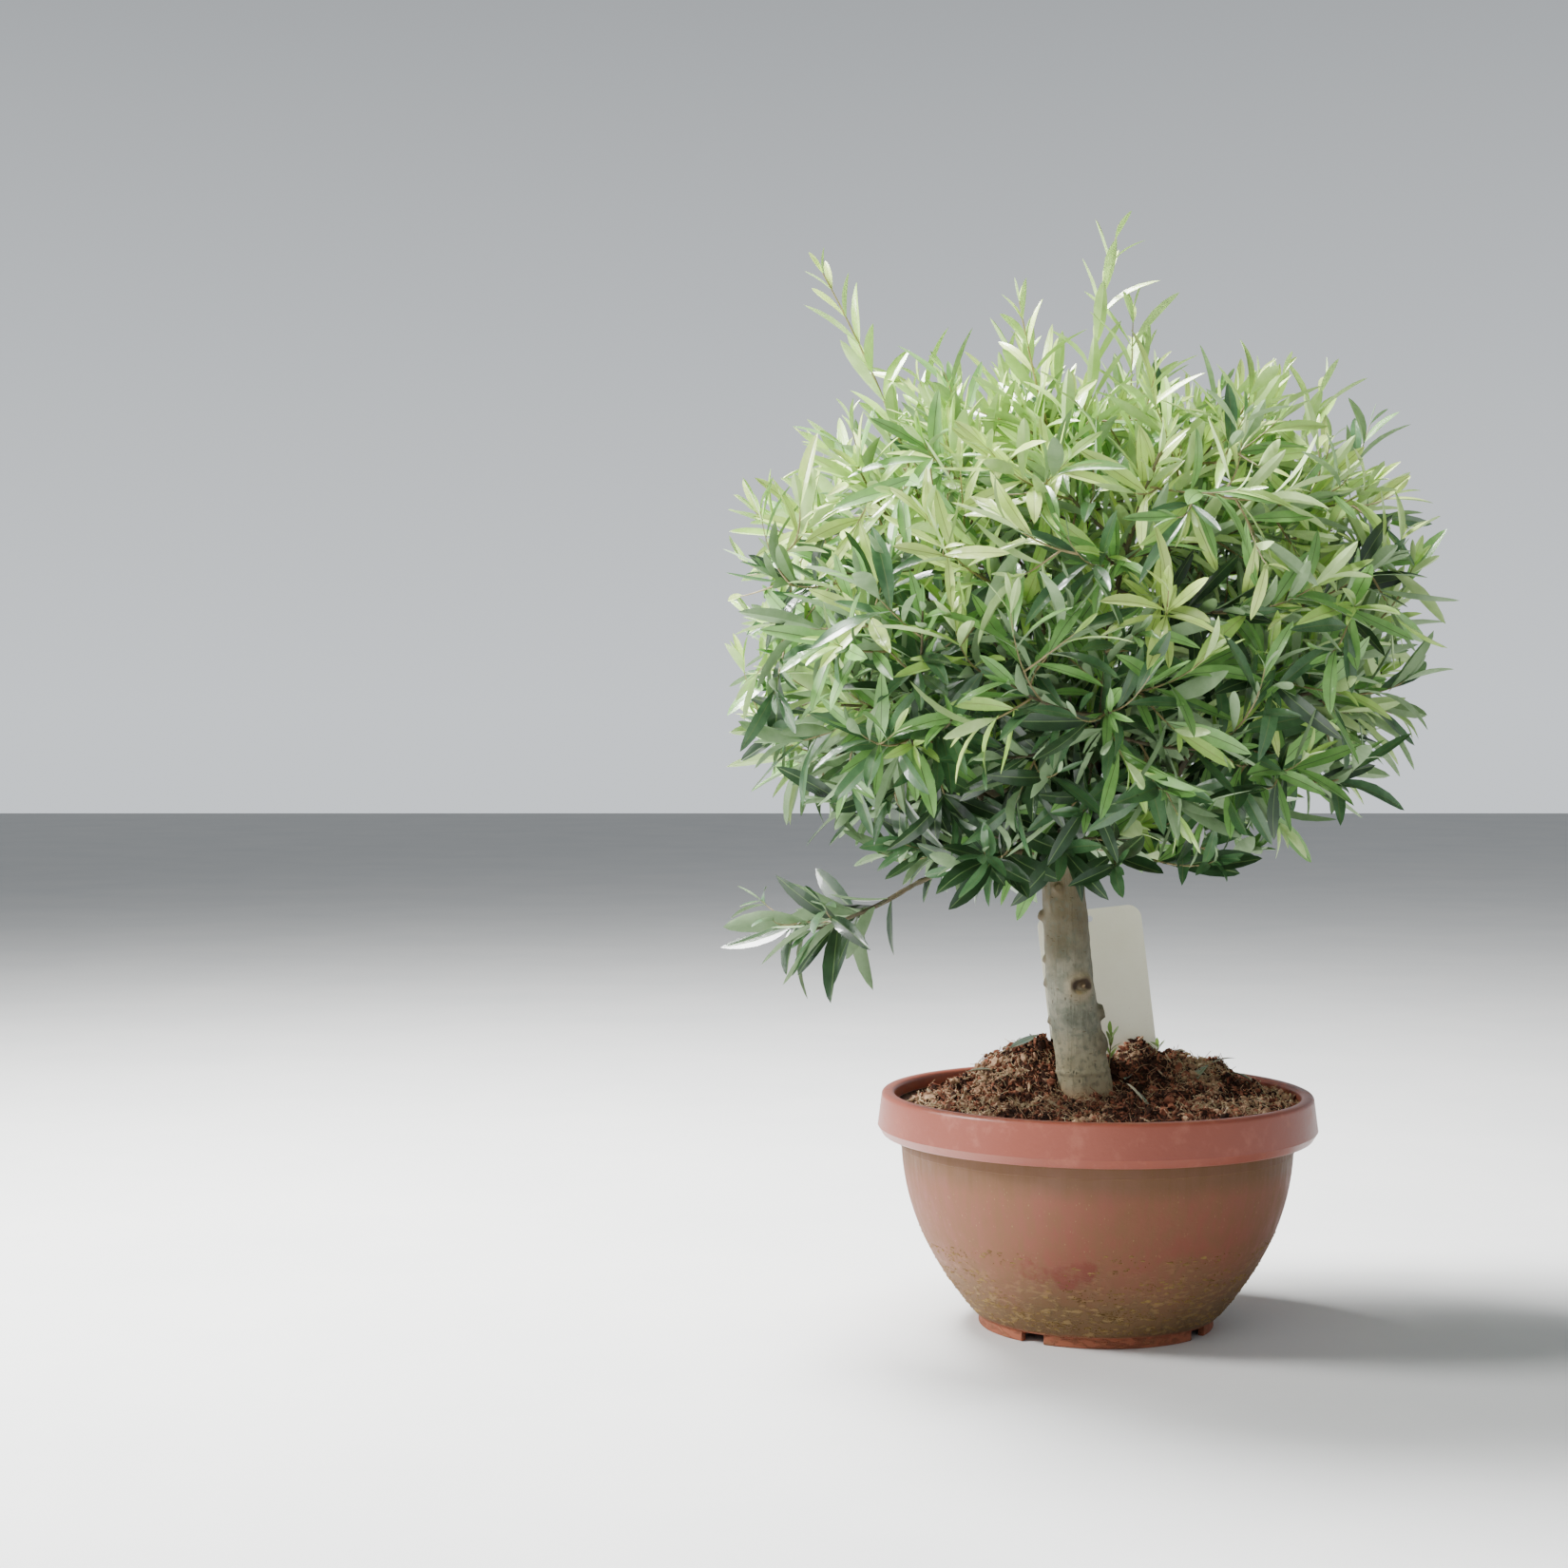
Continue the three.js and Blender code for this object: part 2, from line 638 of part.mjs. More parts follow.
// A leaf of six faces, with its root at the origin and its tip along +Y.
function leafGeometry(length, width) {
  const leaf = new THREE.PolyhedronGeometry(LEAF_CORNERS, LEAF_FACES, 1, 0);
  leaf.scale(width / 2, length / 2, LEAF_THICKNESS).translate(0, length / 2, 0);
  const places = leaf.attributes.position;
  for (let i = 0; i < places.count; i++) {
    if (Math.abs(places.getY(i) - length / 2) < NEAR) {
      places.setY(i, LEAF_BELLY * length);
    }
  }
  return leaf;
}

// The place of a leaf: its root, the way it points, and its face turned up and out of the crown.
function leafFrame(root, along) {
  const face = root.clone().sub(CROWN_CENTRE).divide(CROWN_RADII);
  face.z = Math.max(face.z, 0) + LEAF_FACE_RISE;
  face.addScaledVector(along, -face.dot(along));
  if (face.length() < LEAST_FACE) {
    face.set(-along.y, along.x, LEAST_FACE);
  }
  face.normalize();
  const side = new THREE.Vector3().crossVectors(along, face);
  return new THREE.Matrix4().makeBasis(side, along, face).setPosition(root);
}

const leafMiddles = [];

// The first of a few sizes and turns that keeps the leaf in its mass's space and off the limbs.
function fitLeaf(twig, share, turn, inside) {
  const axis = twig.curve.getTangent(share);
  const node = twig.curve.getPoint(share);
  const splay = LEAF_SPLAY * (1 - LEAF_SPLAY_FALL * share);
  for (const size of LEAF_SIZES) {
    for (const extraTurn of LEAF_TURNS) {
      const length = LEAF_LENGTH * twig.leafSize * size;
      const width = LEAF_WIDTH * twig.leafSize * size;
      const along = leanedFrom(axis, splay, turn + extraTurn);
      const frame = leafFrame(node.clone().addScaledVector(along, -TWIG_TIP_RADIUS * LEAF_ROOT_SINK), along);
      const edges = [-1, 1].map((side) => new THREE.Vector3((side * width) / 2, LEAF_BELLY * length, 0));
      const [left, right] = edges.map((edge) => edge.applyMatrix4(frame));
      const tip = new THREE.Vector3(0, length, 0).applyMatrix4(frame);
      const middle = left.clone().lerp(right, 0.5);
      const spacing = LEAF_SPACING * twig.leafSize;
      const fits =
        [left, right, tip].every(inside) &&
        clearOfLimbs(middle, width / 2) &&
        clearOfLimbs(tip, 0) &&
        leafMiddles.every((other) => other.distanceTo(middle) > spacing);
      if (fits) {
        leafMiddles.push(middle);
        return leafGeometry(length, width).applyMatrix4(frame);
      }
    }
  }
  return null;
}

// Leaves in opposite pairs along a twig, each pair a quarter turn on from the last, and one at the tip.
function leavesOn(twig, inside, firstTurn) {
  const leaves = [fitLeaf(twig, LAST_LEAF_SHARE, firstTurn, inside)];
  const leafyLength = twig.curve.getLength() * (1 - BARE_SHARE);
  const pairs = Math.max(1, Math.round(leafyLength / (LEAF_PITCH * twig.leafSize)));
  for (let pair = pairs; pair >= 1; pair--) {
    const share = BARE_SHARE + ((1 - BARE_SHARE) * (pair - 0.5)) / pairs;
    for (const half of [0, 180]) {
      leaves.push(fitLeaf(twig, share, firstTurn + pair * 90 + half, inside));
    }
  }
  return leaves.filter((leaf) => leaf);
}

function twigSolid(twig) {
  const radiusAt = (share) => lerp(twig.radius, TWIG_TIP_RADIUS, share);
  return solidFrom(limbGeometry(twig.curve, radiusAt, TWIG_SIDES, twig.steps));
}

// The stem of a mass goes on from its bough's tip, past the mass's centre to the crown's skin.
function stemOf(mass) {
  const end = mass.centre.clone().lerp(mass.root, -mass.stemReach);
  const middle = mass.root.clone().addScaledVector(mass.heading, mass.root.distanceTo(end) * STEM_LEAD);
  return new THREE.QuadraticBezierCurve3(mass.root, middle, end);
}

function shootCurve(stemCurve, shoot) {
  const from = stemCurve.getPoint(SHOOT_START);
  const end = new THREE.Vector3(...shoot.tip);
  const leafReach = TIP_LEAF_REACH * SHOOT_LEAF_SIZE * LEAF_LENGTH;
  const tip = end.clone().addScaledVector(end.clone().sub(from).normalize(), -leafReach);
  const middle = from.clone().lerp(tip, 0.5).add(new THREE.Vector3(...shoot.bow));
  return new THREE.QuadraticBezierCurve3(from, middle, tip);
}

function growMass(mass) {
  const random = seededRandom(mass.seed);
  const own = (point) => inOwnSpace(mass, point);
  const inside = (point) => own(point) && (mass.hangsLow || crownDepth(point) < 1);
  const stemCurve = stemOf(mass);
  const stem = { curve: stemCurve, radius: mass.radius, leafSize: mass.leafSize, steps: STEM_STEPS, inside };
  const twigs = [stem];
  const tips = [stemCurve.v2, mass.root];
  for (let i = 0; i < mass.twigCount; i++) {
    const tip = nextTip(mass, tips, random);
    tips.push(tip);
    const curve = twigTo(stemCurve, tip);
    const clear = [0.5, 0.75, 1].every((share) => clearOfLimbs(curve.getPoint(share), TWIG_RADIUS));
    if (clear && [0.25, 0.5, 0.75, 1].every((share) => own(curve.getPoint(share)))) {
      twigs.push({ curve, radius: TWIG_RADIUS, leafSize: mass.leafSize, steps: TWIG_STEPS, inside });
    }
  }
  for (const shoot of SHOOTS.filter((each) => each.mass === mass.name)) {
    const curve = shootCurve(stemCurve, shoot);
    twigs.push({ curve, radius: TWIG_RADIUS, leafSize: SHOOT_LEAF_SIZE, steps: SHOOT_STEPS, inside: own });
  }
  const leaves = twigs.flatMap((twig) => leavesOn(twig, twig.inside, 360 * random())).map(solidFrom);
  const grown = wasm.Manifold.union([...twigs.map(twigSolid), ...leaves]);
  return largestBody(grown.subtract(limbRoom));
}

// Label card

function cardGeometry(extra) {
  const half = CARD_WIDTH / 2 + extra;
  const corner = CARD_CORNER;
  const outline = new THREE.Shape();
  outline.moveTo(-half, -extra);
  outline.lineTo(half, -extra);
  outline.lineTo(half, CARD_LENGTH + extra - corner);
  outline.absarc(half - corner, CARD_LENGTH + extra - corner, corner, 0, Math.PI / 2);
  outline.lineTo(-half + corner, CARD_LENGTH + extra);
  outline.absarc(-half + corner, CARD_LENGTH + extra - corner, corner, Math.PI / 2, Math.PI);
  if (extra === 0) {
    const hole = new THREE.Path();
    hole.absarc(0, CARD_LENGTH - CARD_HOLE_DROP, CARD_HOLE_RADIUS, 0, 2 * Math.PI, true);
    outline.holes.push(hole);
  }
  const depth = CARD_THICKNESS + 2 * extra;
  const options = { depth, bevelEnabled: false, curveSegments: CARD_CORNER_STEPS };
  const card = new THREE.ExtrudeGeometry(outline, options);
  card.translate(0, 0, -depth / 2).rotateX(Math.PI / 2);
  card.rotateX(toRadians(-CARD_LEAN)).rotateY(toRadians(CARD_ROLL));
  return card.translate(CARD_PLACE.x, CARD_PLACE.y, CARD_PLACE.z);
}

// The whole

const group = new THREE.Group();
const tree = new THREE.Group();
group.add(tree);

const soil = makeSoil().subtract(trunkRoom).subtract(solidFrom(cardGeometry(CLEARANCE)));

group.add(meshFrom("pot", makePot(), materials.terracotta));
group.add(meshFrom("soil", largestBody(soil), materials.soil));
group.add(meshFrom("label_card", solidFrom(cardGeometry(0)), materials.card));
tree.add(meshFrom("trunk", makeTrunk(0), materials.bark));
boughs.forEach(({ name }, i) => tree.add(meshFrom(name, boughSolids[i], materials.bark)));
for (const mass of masses) {
  tree.add(meshFrom(mass.name, growMass(mass), materials.leaf));
}

export default group;
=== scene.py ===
# %% [markdown]
# # An olive bonsai in its pot
#
# A young olive trained as a small tree: a bare leaning trunk, a full round head of narrow leaves,
# and a wide bowl of terracotta-coloured plastic filled with coarse compost. This lesson dresses
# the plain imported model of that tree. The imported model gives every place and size, and each
# step below replaces a plain solid with a piece that has the real surface.

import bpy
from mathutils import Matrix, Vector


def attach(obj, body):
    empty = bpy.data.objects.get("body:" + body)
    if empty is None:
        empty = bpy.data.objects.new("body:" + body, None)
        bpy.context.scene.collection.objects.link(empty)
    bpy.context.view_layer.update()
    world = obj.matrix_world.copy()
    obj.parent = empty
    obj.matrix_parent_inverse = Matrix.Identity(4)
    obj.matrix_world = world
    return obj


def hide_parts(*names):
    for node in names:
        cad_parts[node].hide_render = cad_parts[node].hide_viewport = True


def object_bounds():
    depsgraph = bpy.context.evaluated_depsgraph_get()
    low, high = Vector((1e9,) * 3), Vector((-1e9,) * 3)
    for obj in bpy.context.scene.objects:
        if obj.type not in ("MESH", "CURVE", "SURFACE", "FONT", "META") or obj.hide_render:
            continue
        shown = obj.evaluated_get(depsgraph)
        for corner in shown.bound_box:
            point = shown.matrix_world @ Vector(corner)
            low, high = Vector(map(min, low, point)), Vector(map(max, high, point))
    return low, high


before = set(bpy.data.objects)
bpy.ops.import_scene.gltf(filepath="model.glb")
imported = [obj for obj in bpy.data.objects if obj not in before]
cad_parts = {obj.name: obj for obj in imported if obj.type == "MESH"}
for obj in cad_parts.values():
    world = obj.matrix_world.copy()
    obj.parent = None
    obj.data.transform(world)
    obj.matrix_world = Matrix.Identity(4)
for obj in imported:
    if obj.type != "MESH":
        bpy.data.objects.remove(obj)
cad_box = [list(corner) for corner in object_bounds()]

from math import cos, exp, hypot, pi, radians, sin

import bpy
import numpy as np
from mathutils import Matrix, Vector, noise

print("box of the plain model:", cad_box)

# %% [markdown]
# ## Camera, floor and light
#
# The camera stands 2.4 m in front of the pot and a little to its left, at the height of the lower
# leaves, and looks almost level, as a person does who crouches to take a picture. The pot
# therefore shows its rim from slightly above, and the leaves show against the pale sky behind.

# %% Camera
CAMERA_PLACE = (-0.286, -2.43, 0.562)
CAMERA_PITCH = -1.6
LENS = 61.1
SENSOR = 36

camera_data = bpy.data.cameras.new("camera")
camera_data.lens = LENS
camera_data.sensor_width = SENSOR
camera = bpy.data.objects.new("camera", camera_data)
camera.location = CAMERA_PLACE
camera.rotation_euler = (radians(90 + CAMERA_PITCH), 0, 0)
bpy.context.scene.collection.objects.link(camera)
bpy.context.scene.camera = camera
print("camera at", CAMERA_PLACE)

# %% [markdown]
# Daylight in a nursery comes from high up and from behind, through a bright roof. Three large area
# lamps give that in a studio: a high one behind to the left, which lights the leaf edges, a
# smaller one from the left that lights the trunk and the pot, and a weak one in front that fills the
# shadows. A pale sky, brighter near the horizon, fills in the rest.

# %% Light
LAMPS = [
    {"name": "roof", "place": (-0.9, 0.6, 2.6), "size": 1.0, "watts": 320},
    {"name": "window", "place": (-2.5, -0.3, 1.7), "size": 0.8, "watts": 115},
    {"name": "front", "place": (-1.2, -3.0, 2.0), "size": 2.2, "watts": 19},
]
LAMP_AIM = Vector((0, 0, 0.5))
SKY_COLOUR = (0.90, 0.95, 1.0, 1)
SKY_LOW = 1.00
SKY_HIGH = 0.28
SKY_HIGH_FROM = 0.38


def add_lamp(name, place, size, watts):
    """A square area lamp that points at the middle of the tree."""
    data = bpy.data.lights.new(name, "AREA")
    data.size = size
    data.energy = watts
    lamp = bpy.data.objects.new(name, data)
    lamp.location = place
    lamp.rotation_euler = (LAMP_AIM - Vector(place)).to_track_quat("-Z", "Y").to_euler()
    bpy.context.scene.collection.objects.link(lamp)


for lamp in LAMPS:
    add_lamp(**lamp)
print(len(LAMPS), "lamps")

# %% [markdown]
# ## Tools for finishes
#
# Every finish below is made of nodes. Writing each node by hand takes many lines, so one small
# helper adds a node, sets it and fills its inputs, with a plain value or with another node's output.
# Colours are written as a person reads them off a screen, and turned to the linear values that
# the shader works with.

# %% Node helpers
def paint(red, green, blue):
    """A screen colour, 0 to 255, as the shader's linear colour."""
    parts = [value / 255 for value in (red, green, blue)]
    linear = [p / 12.92 if p <= 0.04045 else ((p + 0.055) / 1.055) ** 2.4 for p in parts]
    return (*linear, 1)


def add_node(tree, kind, inputs=None, **settings):
    """Adds a node to a tree. A value in inputs is either a plain value or a socket to link."""
    made = tree.nodes.new(kind)
    for name, value in settings.items():
        setattr(made, name, value)
    for name, value in (inputs or {}).items():
        if isinstance(value, bpy.types.NodeSocket):
            tree.links.new(value, made.inputs[name])
        else:
            made.inputs[name].default_value = value
    return made


def blend(tree, mask, first, second):
    """A colour that goes from the first, where the mask is 0, to the second, where it is 1."""
    return add_node(tree, "ShaderNodeMixRGB", {"Fac": mask, "Color1": first, "Color2": second}).outputs[0]


def arithmetic(tree, operation, first, second, clamp=False):
    """One step of arithmetic on two values."""
    made = add_node(tree, "ShaderNodeMath", {0: first, 1: second}, operation=operation, use_clamp=clamp)
    return made.outputs[0]


def work_out(tree, operation, first, second):
    """One step of arithmetic on two masks or numbers, kept between 0 and 1."""
    return arithmetic(tree, operation, first, second, clamp=True)


print("helpers are ready")

# %% [markdown]
# Dust on the pot, stains on the bark and dark and light places in the soil are all the same
# thing: noise, pulled long in some direction, with its low and high parts cut off. That is made
# once as a group called mottle. A second group, fade, is a mask that rises with height over a
# ragged edge, and a third, flecks, gives small separate spots. A group only puts out masks, and
# each finish then decides what colour or roughness a mask stands for.

# %% Shared node groups
def new_group(name, inputs):
    """An empty node group with float or vector inputs, and one output called Mask."""
    group = bpy.data.node_groups.new(name, "ShaderNodeTree")
    for label, value in inputs.items():
        kind = "NodeSocketVector" if isinstance(value, tuple) else "NodeSocketFloat"
        socket = group.interface.new_socket(label, in_out="INPUT", socket_type=kind)
        socket.default_value = value
    group.interface.new_socket("Mask", in_out="OUTPUT", socket_type="NodeSocketFloat")
    return group, group.nodes.new("NodeGroupInput").outputs, group.nodes.new("NodeGroupOutput").inputs


def stretched_place(group, stretch):
    """The place on the object, multiplied by a stretch on each axis."""
    place = add_node(group, "ShaderNodeTexCoord").outputs["Object"]
    return add_node(group, "ShaderNodeVectorMath", {0: place, 1: stretch}, operation="MULTIPLY").outputs[0]


def cut(group, value, low, high):
    """0 below low, 1 above high and a ramp between."""
    inputs = {"Value": value, "From Min": low, "From Max": high}
    return add_node(group, "ShaderNodeMapRange", inputs, clamp=True).outputs[0]


def make_mottle():
    group, given, result = new_group("mottle", {"Scale": 20.0, "Stretch": (1, 1, 1), "Low": 0.4, "High": 0.6})
    place = stretched_place(group, given["Stretch"])
    inputs = {"Vector": place, "Scale": given["Scale"], "Detail": 6.0, "Roughness": 0.62}
    cloud = add_node(group, "ShaderNodeTexNoise", inputs).outputs["Fac"]
    group.links.new(cut(group, cloud, given["Low"], given["High"]), result["Mask"])
    return group


def make_fade():
    group, given, result = new_group("fade", {"Low": 0.0, "High": 1.0, "Ragged": 0.01, "Scale": 30.0})
    place = add_node(group, "ShaderNodeTexCoord").outputs["Object"]
    height = add_node(group, "ShaderNodeSeparateXYZ", {0: place}).outputs["Z"]
    cloud = add_node(group, "ShaderNodeTexNoise", {"Vector": place, "Scale": given["Scale"], "Detail": 5.0})
    centred = arithmetic(group, "SUBTRACT", cloud.outputs["Fac"], 0.5)
    lift = arithmetic(group, "MULTIPLY", centred, given["Ragged"])
    moved = arithmetic(group, "ADD", height, lift)
    group.links.new(cut(group, moved, given["Low"], given["High"]), result["Mask"])
    return group


def make_flecks():
    inputs = {"Scale": 200.0, "Stretch": (1, 1, 1), "Size": 0.2, "Edge": 0.1}
    group, given, result = new_group("flecks", inputs)
    place = stretched_place(group, given["Stretch"])
    cells = add_node(group, "ShaderNodeTexVoronoi", {"Vector": place, "Scale": given["Scale"]})
    outer = arithmetic(group, "ADD", given["Size"], given["Edge"])
    group.links.new(cut(group, cells.outputs["Distance"], outer, given["Size"]), result["Mask"])
    return group


GROUPS = {"mottle": make_mottle(), "fade": make_fade(), "flecks": make_flecks()}


def mask_of(tree, name, **values):
    """Places one of the shared groups in a tree, with its own values, and gives its mask."""
    placed = add_node(tree, "ShaderNodeGroup", node_tree=GROUPS[name])
    for label, value in values.items():
        placed.inputs[label].default_value = value
    return placed.outputs["Mask"]


print("groups:", ", ".join(GROUPS))


# %% [markdown]
# A finish is then a material with one Principled BSDF. Its colour and roughness come from
# masks, and its relief from one or more Bump nodes in a row, the coarse one first.

# %% Material helpers
def new_finish(name, roughness=0.6, specular=0.5):
    """A material with its shader, ready for colours and masks."""
    finish = bpy.data.materials.new(name)
    finish.use_nodes = True
    shader = finish.node_tree.nodes["Principled BSDF"]
    shader.inputs["Roughness"].default_value = roughness
    shader.inputs["Specular IOR Level"].default_value = specular
    return finish, finish.node_tree, shader


def feed(tree, shader, **sockets):
    """Links values to the shader's sockets. Underscores stand for spaces."""
    for name, socket in sockets.items():
        tree.links.new(socket, shader.inputs[name.replace("_", " ")])


def relief(tree, height, distance, under=None):
    """A Bump node of a given depth in metres, laid over the relief under it."""
    inputs = {"Height": height, "Distance": distance}
    if under is not None:
        inputs["Normal"] = under
    return add_node(tree, "ShaderNodeBump", inputs).outputs["Normal"]


def level(tree, mask, low, high):
    """A mask turned into a value between two ends, such as a roughness."""
    inputs = {"Value": mask, "To Min": low, "To Max": high}
    return add_node(tree, "ShaderNodeMapRange", inputs).outputs[0]


def over(tree, base, colour, mask, strength):
    """A colour laid over another where a mask is, as strongly as asked for."""
    return blend(tree, level(tree, mask, 0.0, strength), base, colour)


print("material helpers are ready")

# %% [markdown]
# ## Floor and sky
#
# The floor is only there to carry a soft shadow, so it is one large plain sheet, a little rough
# and almost white. The sky is a plain blue-white world. Its strength falls with height, so the
# sides of the tree get its light and most of the light from above is left to the lamps.

# %% Floor and sky
FLOOR_SIZE = 24

bpy.ops.object.select_all(action="DESELECT")
bpy.ops.mesh.primitive_plane_add(size=FLOOR_SIZE)
floor = bpy.context.object
floor.name = "floor"
floor_finish, tree, shader = new_finish("pale_floor", roughness=0.7, specular=0.3)
cloud = mask_of(tree, "mottle", Scale=3.0, Low=0.3, High=0.7)
feed(tree, shader, Base_Color=blend(tree, cloud, paint(226, 227, 226), paint(234, 234, 232)))
floor.data.materials.append(floor_finish)

sky = bpy.data.worlds.new("sky")
sky.use_nodes = True
backdrop = sky.node_tree.nodes["Background"]
way = add_node(sky.node_tree, "ShaderNodeTexCoord").outputs["Generated"]
climb = add_node(sky.node_tree, "ShaderNodeSeparateXYZ", {0: way}).outputs["Z"]
inputs = {"Value": climb, "From Min": 0.0, "From Max": SKY_HIGH_FROM}
inputs |= {"To Min": SKY_LOW, "To Max": SKY_HIGH}
feed(sky.node_tree, backdrop, Strength=add_node(sky.node_tree, "ShaderNodeMapRange", inputs).outputs[0])
backdrop.inputs["Color"].default_value = SKY_COLOUR
bpy.context.scene.world = sky
print("floor", FLOOR_SIZE, "m wide, sky", SKY_LOW, "to", SKY_HIGH)

# %% [markdown]
# ## Pot
#
# The pot is moulded in one piece: a foot ring with four notches that let water out, a
# round bowl wall, and a broad smooth band that hangs over it and ends in a rolled lip. Everything
# round on it comes from one outline, so the outline is drawn first, point by point, by
# extruding a single vertex, and then spun round the upright axis. Arcs round the lip and
# the band's foot, where light draws a fine line on the real pot.

# %% Sizes of the pot
POT_WIDTH = 0.400
POT_HEIGHT = 0.213
WALL = 0.0035
BAND_HEIGHT = 0.039
BAND_OVERHANG = 0.018
BAND_TAPER = 0.0035
BAND_WIDEST_RISE = 0.008
LIP_WIDTH = 0.012
LIP_ROUND = 0.004
FOOT_RADIUS = 0.107
FOOT_HEIGHT = 0.011
FOOT_WALL = 0.006
FLOOR_RISE = 0.006
FLOOR_THICKNESS = 0.004
PAD_RADIUS = 0.022
BOWL_SWELL = 2.2
BOWL_FLARE = 0.002
BOWL_STEPS = 26
STEP_LINE_DROP = 0.012
STEP_LINE_DEPTH = 0.0007

band_radius = POT_WIDTH / 2 - BAND_TAPER
band_foot_z = POT_HEIGHT - BAND_HEIGHT
wall_top_radius = band_radius - BAND_OVERHANG
foot_top_radius = FOOT_RADIUS + BAND_TAPER
floor_top_z = FLOOR_RISE + FLOOR_THICKNESS


def bowl_radius(height):
    """The outer radius of the bowl's wall at a height: it swells fast above the foot, then stands."""
    share = (height - FOOT_HEIGHT) / (band_foot_z - FOOT_HEIGHT)
    swell = 1 - (1 - share) ** BOWL_SWELL
    return foot_top_radius + (wall_top_radius - foot_top_radius - BOWL_FLARE) * swell + BOWL_FLARE * share


def arc(radius, height, size, first, last, steps=5):
    """Points of a round edge, about a centre at a radius and height, between two angles."""
    turns = np.radians(np.linspace(first, last, steps))
    return [(radius + size * cos(turn), height + size * sin(turn)) for turn in turns]


def bowl_wall(inset, low, high):
    """The bowl's wall from one height to another, set in by the wall's thickness."""
    heights = np.linspace(low, high, BOWL_STEPS)
    return [(bowl_radius(height) - inset, height) for height in heights]


print("pot", POT_WIDTH, "m wide and", POT_HEIGHT, "m high")


# %% Outline of the pot
EDGE = 0.0015
BAND_EDGE = 0.003

lip_inner_radius = band_radius - LIP_WIDTH
lip_crown_radius = band_radius - LIP_WIDTH / 2
lip_shoulder_z = POT_HEIGHT - LIP_ROUND
step_line_z = band_foot_z - STEP_LINE_DROP

pot_outline = [
    (0, 0),
    (PAD_RADIUS, 0),
    (PAD_RADIUS, FLOOR_RISE),
    (FOOT_RADIUS - FOOT_WALL, FLOOR_RISE),
    (FOOT_RADIUS - FOOT_WALL, 0),
    *arc(FOOT_RADIUS - EDGE, EDGE, EDGE, -90, 0),
    (FOOT_RADIUS, FOOT_HEIGHT - EDGE),
    *bowl_wall(0, FOOT_HEIGHT, step_line_z),
    (bowl_radius(step_line_z) + STEP_LINE_DEPTH, step_line_z + STEP_LINE_DEPTH),
    (wall_top_radius, band_foot_z),
    *arc(band_radius - BAND_EDGE, band_foot_z + BAND_EDGE, BAND_EDGE, -90, -20),
    (POT_WIDTH / 2, band_foot_z + BAND_WIDEST_RISE),
    (POT_WIDTH / 2 - BAND_TAPER / 2, (band_foot_z + BAND_WIDEST_RISE + lip_shoulder_z) / 2),
    *arc(band_radius - LIP_ROUND, lip_shoulder_z, LIP_ROUND, 0, 75),
    (lip_crown_radius, POT_HEIGHT),
    *arc(lip_inner_radius + LIP_ROUND, lip_shoulder_z, LIP_ROUND, 105, 180),
    (lip_inner_radius, lip_shoulder_z - 2 * LIP_ROUND),
    (wall_top_radius - WALL, lip_shoulder_z - 3 * LIP_ROUND),
    *reversed(bowl_wall(WALL, floor_top_z + WALL, band_foot_z)),
    (bowl_radius(floor_top_z + WALL) - 2 * WALL, floor_top_z),
    (0, floor_top_z),
]
print(len(pot_outline), "points in the outline")


# %% [markdown]
# Spinning is the same for the pot and, later, for the soil, so it is a helper. The first vertex is
# a small plane merged to its middle. Each further point is an extrusion by the step to it. After
# the spin the doubled vertices on the axis and at the seam are merged, and the faces are
# turned outwards.

# %% Spin helper
SPIN_STEPS = 160
MERGE_DISTANCE = 2e-5


def spun(name, outline):
    """A closed body of revolution from an outline of radii and heights that ends on the axis."""
    bpy.ops.object.select_all(action="DESELECT")
    bpy.ops.mesh.primitive_plane_add(size=MERGE_DISTANCE, location=(0, 0, 0))
    piece = bpy.context.object
    piece.name = piece.data.name = name
    bpy.ops.object.mode_set(mode="EDIT")
    bpy.ops.mesh.select_all(action="SELECT")
    bpy.ops.mesh.merge(type="CENTER")
    here = Vector((0, 0, 0))
    for radius, height in outline:
        step = Vector((radius, 0, height)) - here
        bpy.ops.mesh.extrude_vertices_move(TRANSFORM_OT_translate={"value": step})
        here += step
    bpy.ops.mesh.select_all(action="SELECT")
    bpy.ops.mesh.spin(steps=SPIN_STEPS, angle=2 * pi, center=(0, 0, 0), axis=(0, 0, 1))
    bpy.ops.mesh.select_all(action="SELECT")
    bpy.ops.mesh.remove_doubles(threshold=MERGE_DISTANCE)
    bpy.ops.mesh.normals_make_consistent(inside=False)
    bpy.ops.object.mode_set(mode="OBJECT")
    return piece


def pick(piece):
    """Selects one piece alone and makes it the active one."""
    bpy.ops.object.select_all(action="DESELECT")
    piece.select_set(True)
    bpy.context.view_layer.objects.active = piece


def smooth(piece, angle):
    """Smooth shading that stays sharp where faces meet at more than an angle in degrees."""
    pick(piece)
    bpy.ops.object.shade_smooth_by_angle(angle=radians(angle))


pot = spun("pot_body", pot_outline)
print("pot_body has", len(pot.data.polygons), "faces")

# %% [markdown]
# Four notches are cut through the foot ring and four drain holes through the floor. Each
# cutter is a primitive at its place, the cutters are joined, and one Boolean modifier
# takes them all away at once.

# %% Notches and drain holes
NOTCH_WIDTH = 0.023
NOTCH_HEIGHT = 0.009
NOTCH_DEPTH = 0.024
FIRST_NOTCH = 232
FIRST_DRAIN = 45
DRAIN_RADIUS = 0.005
DRAIN_RING = 0.066
QUARTERS = 4


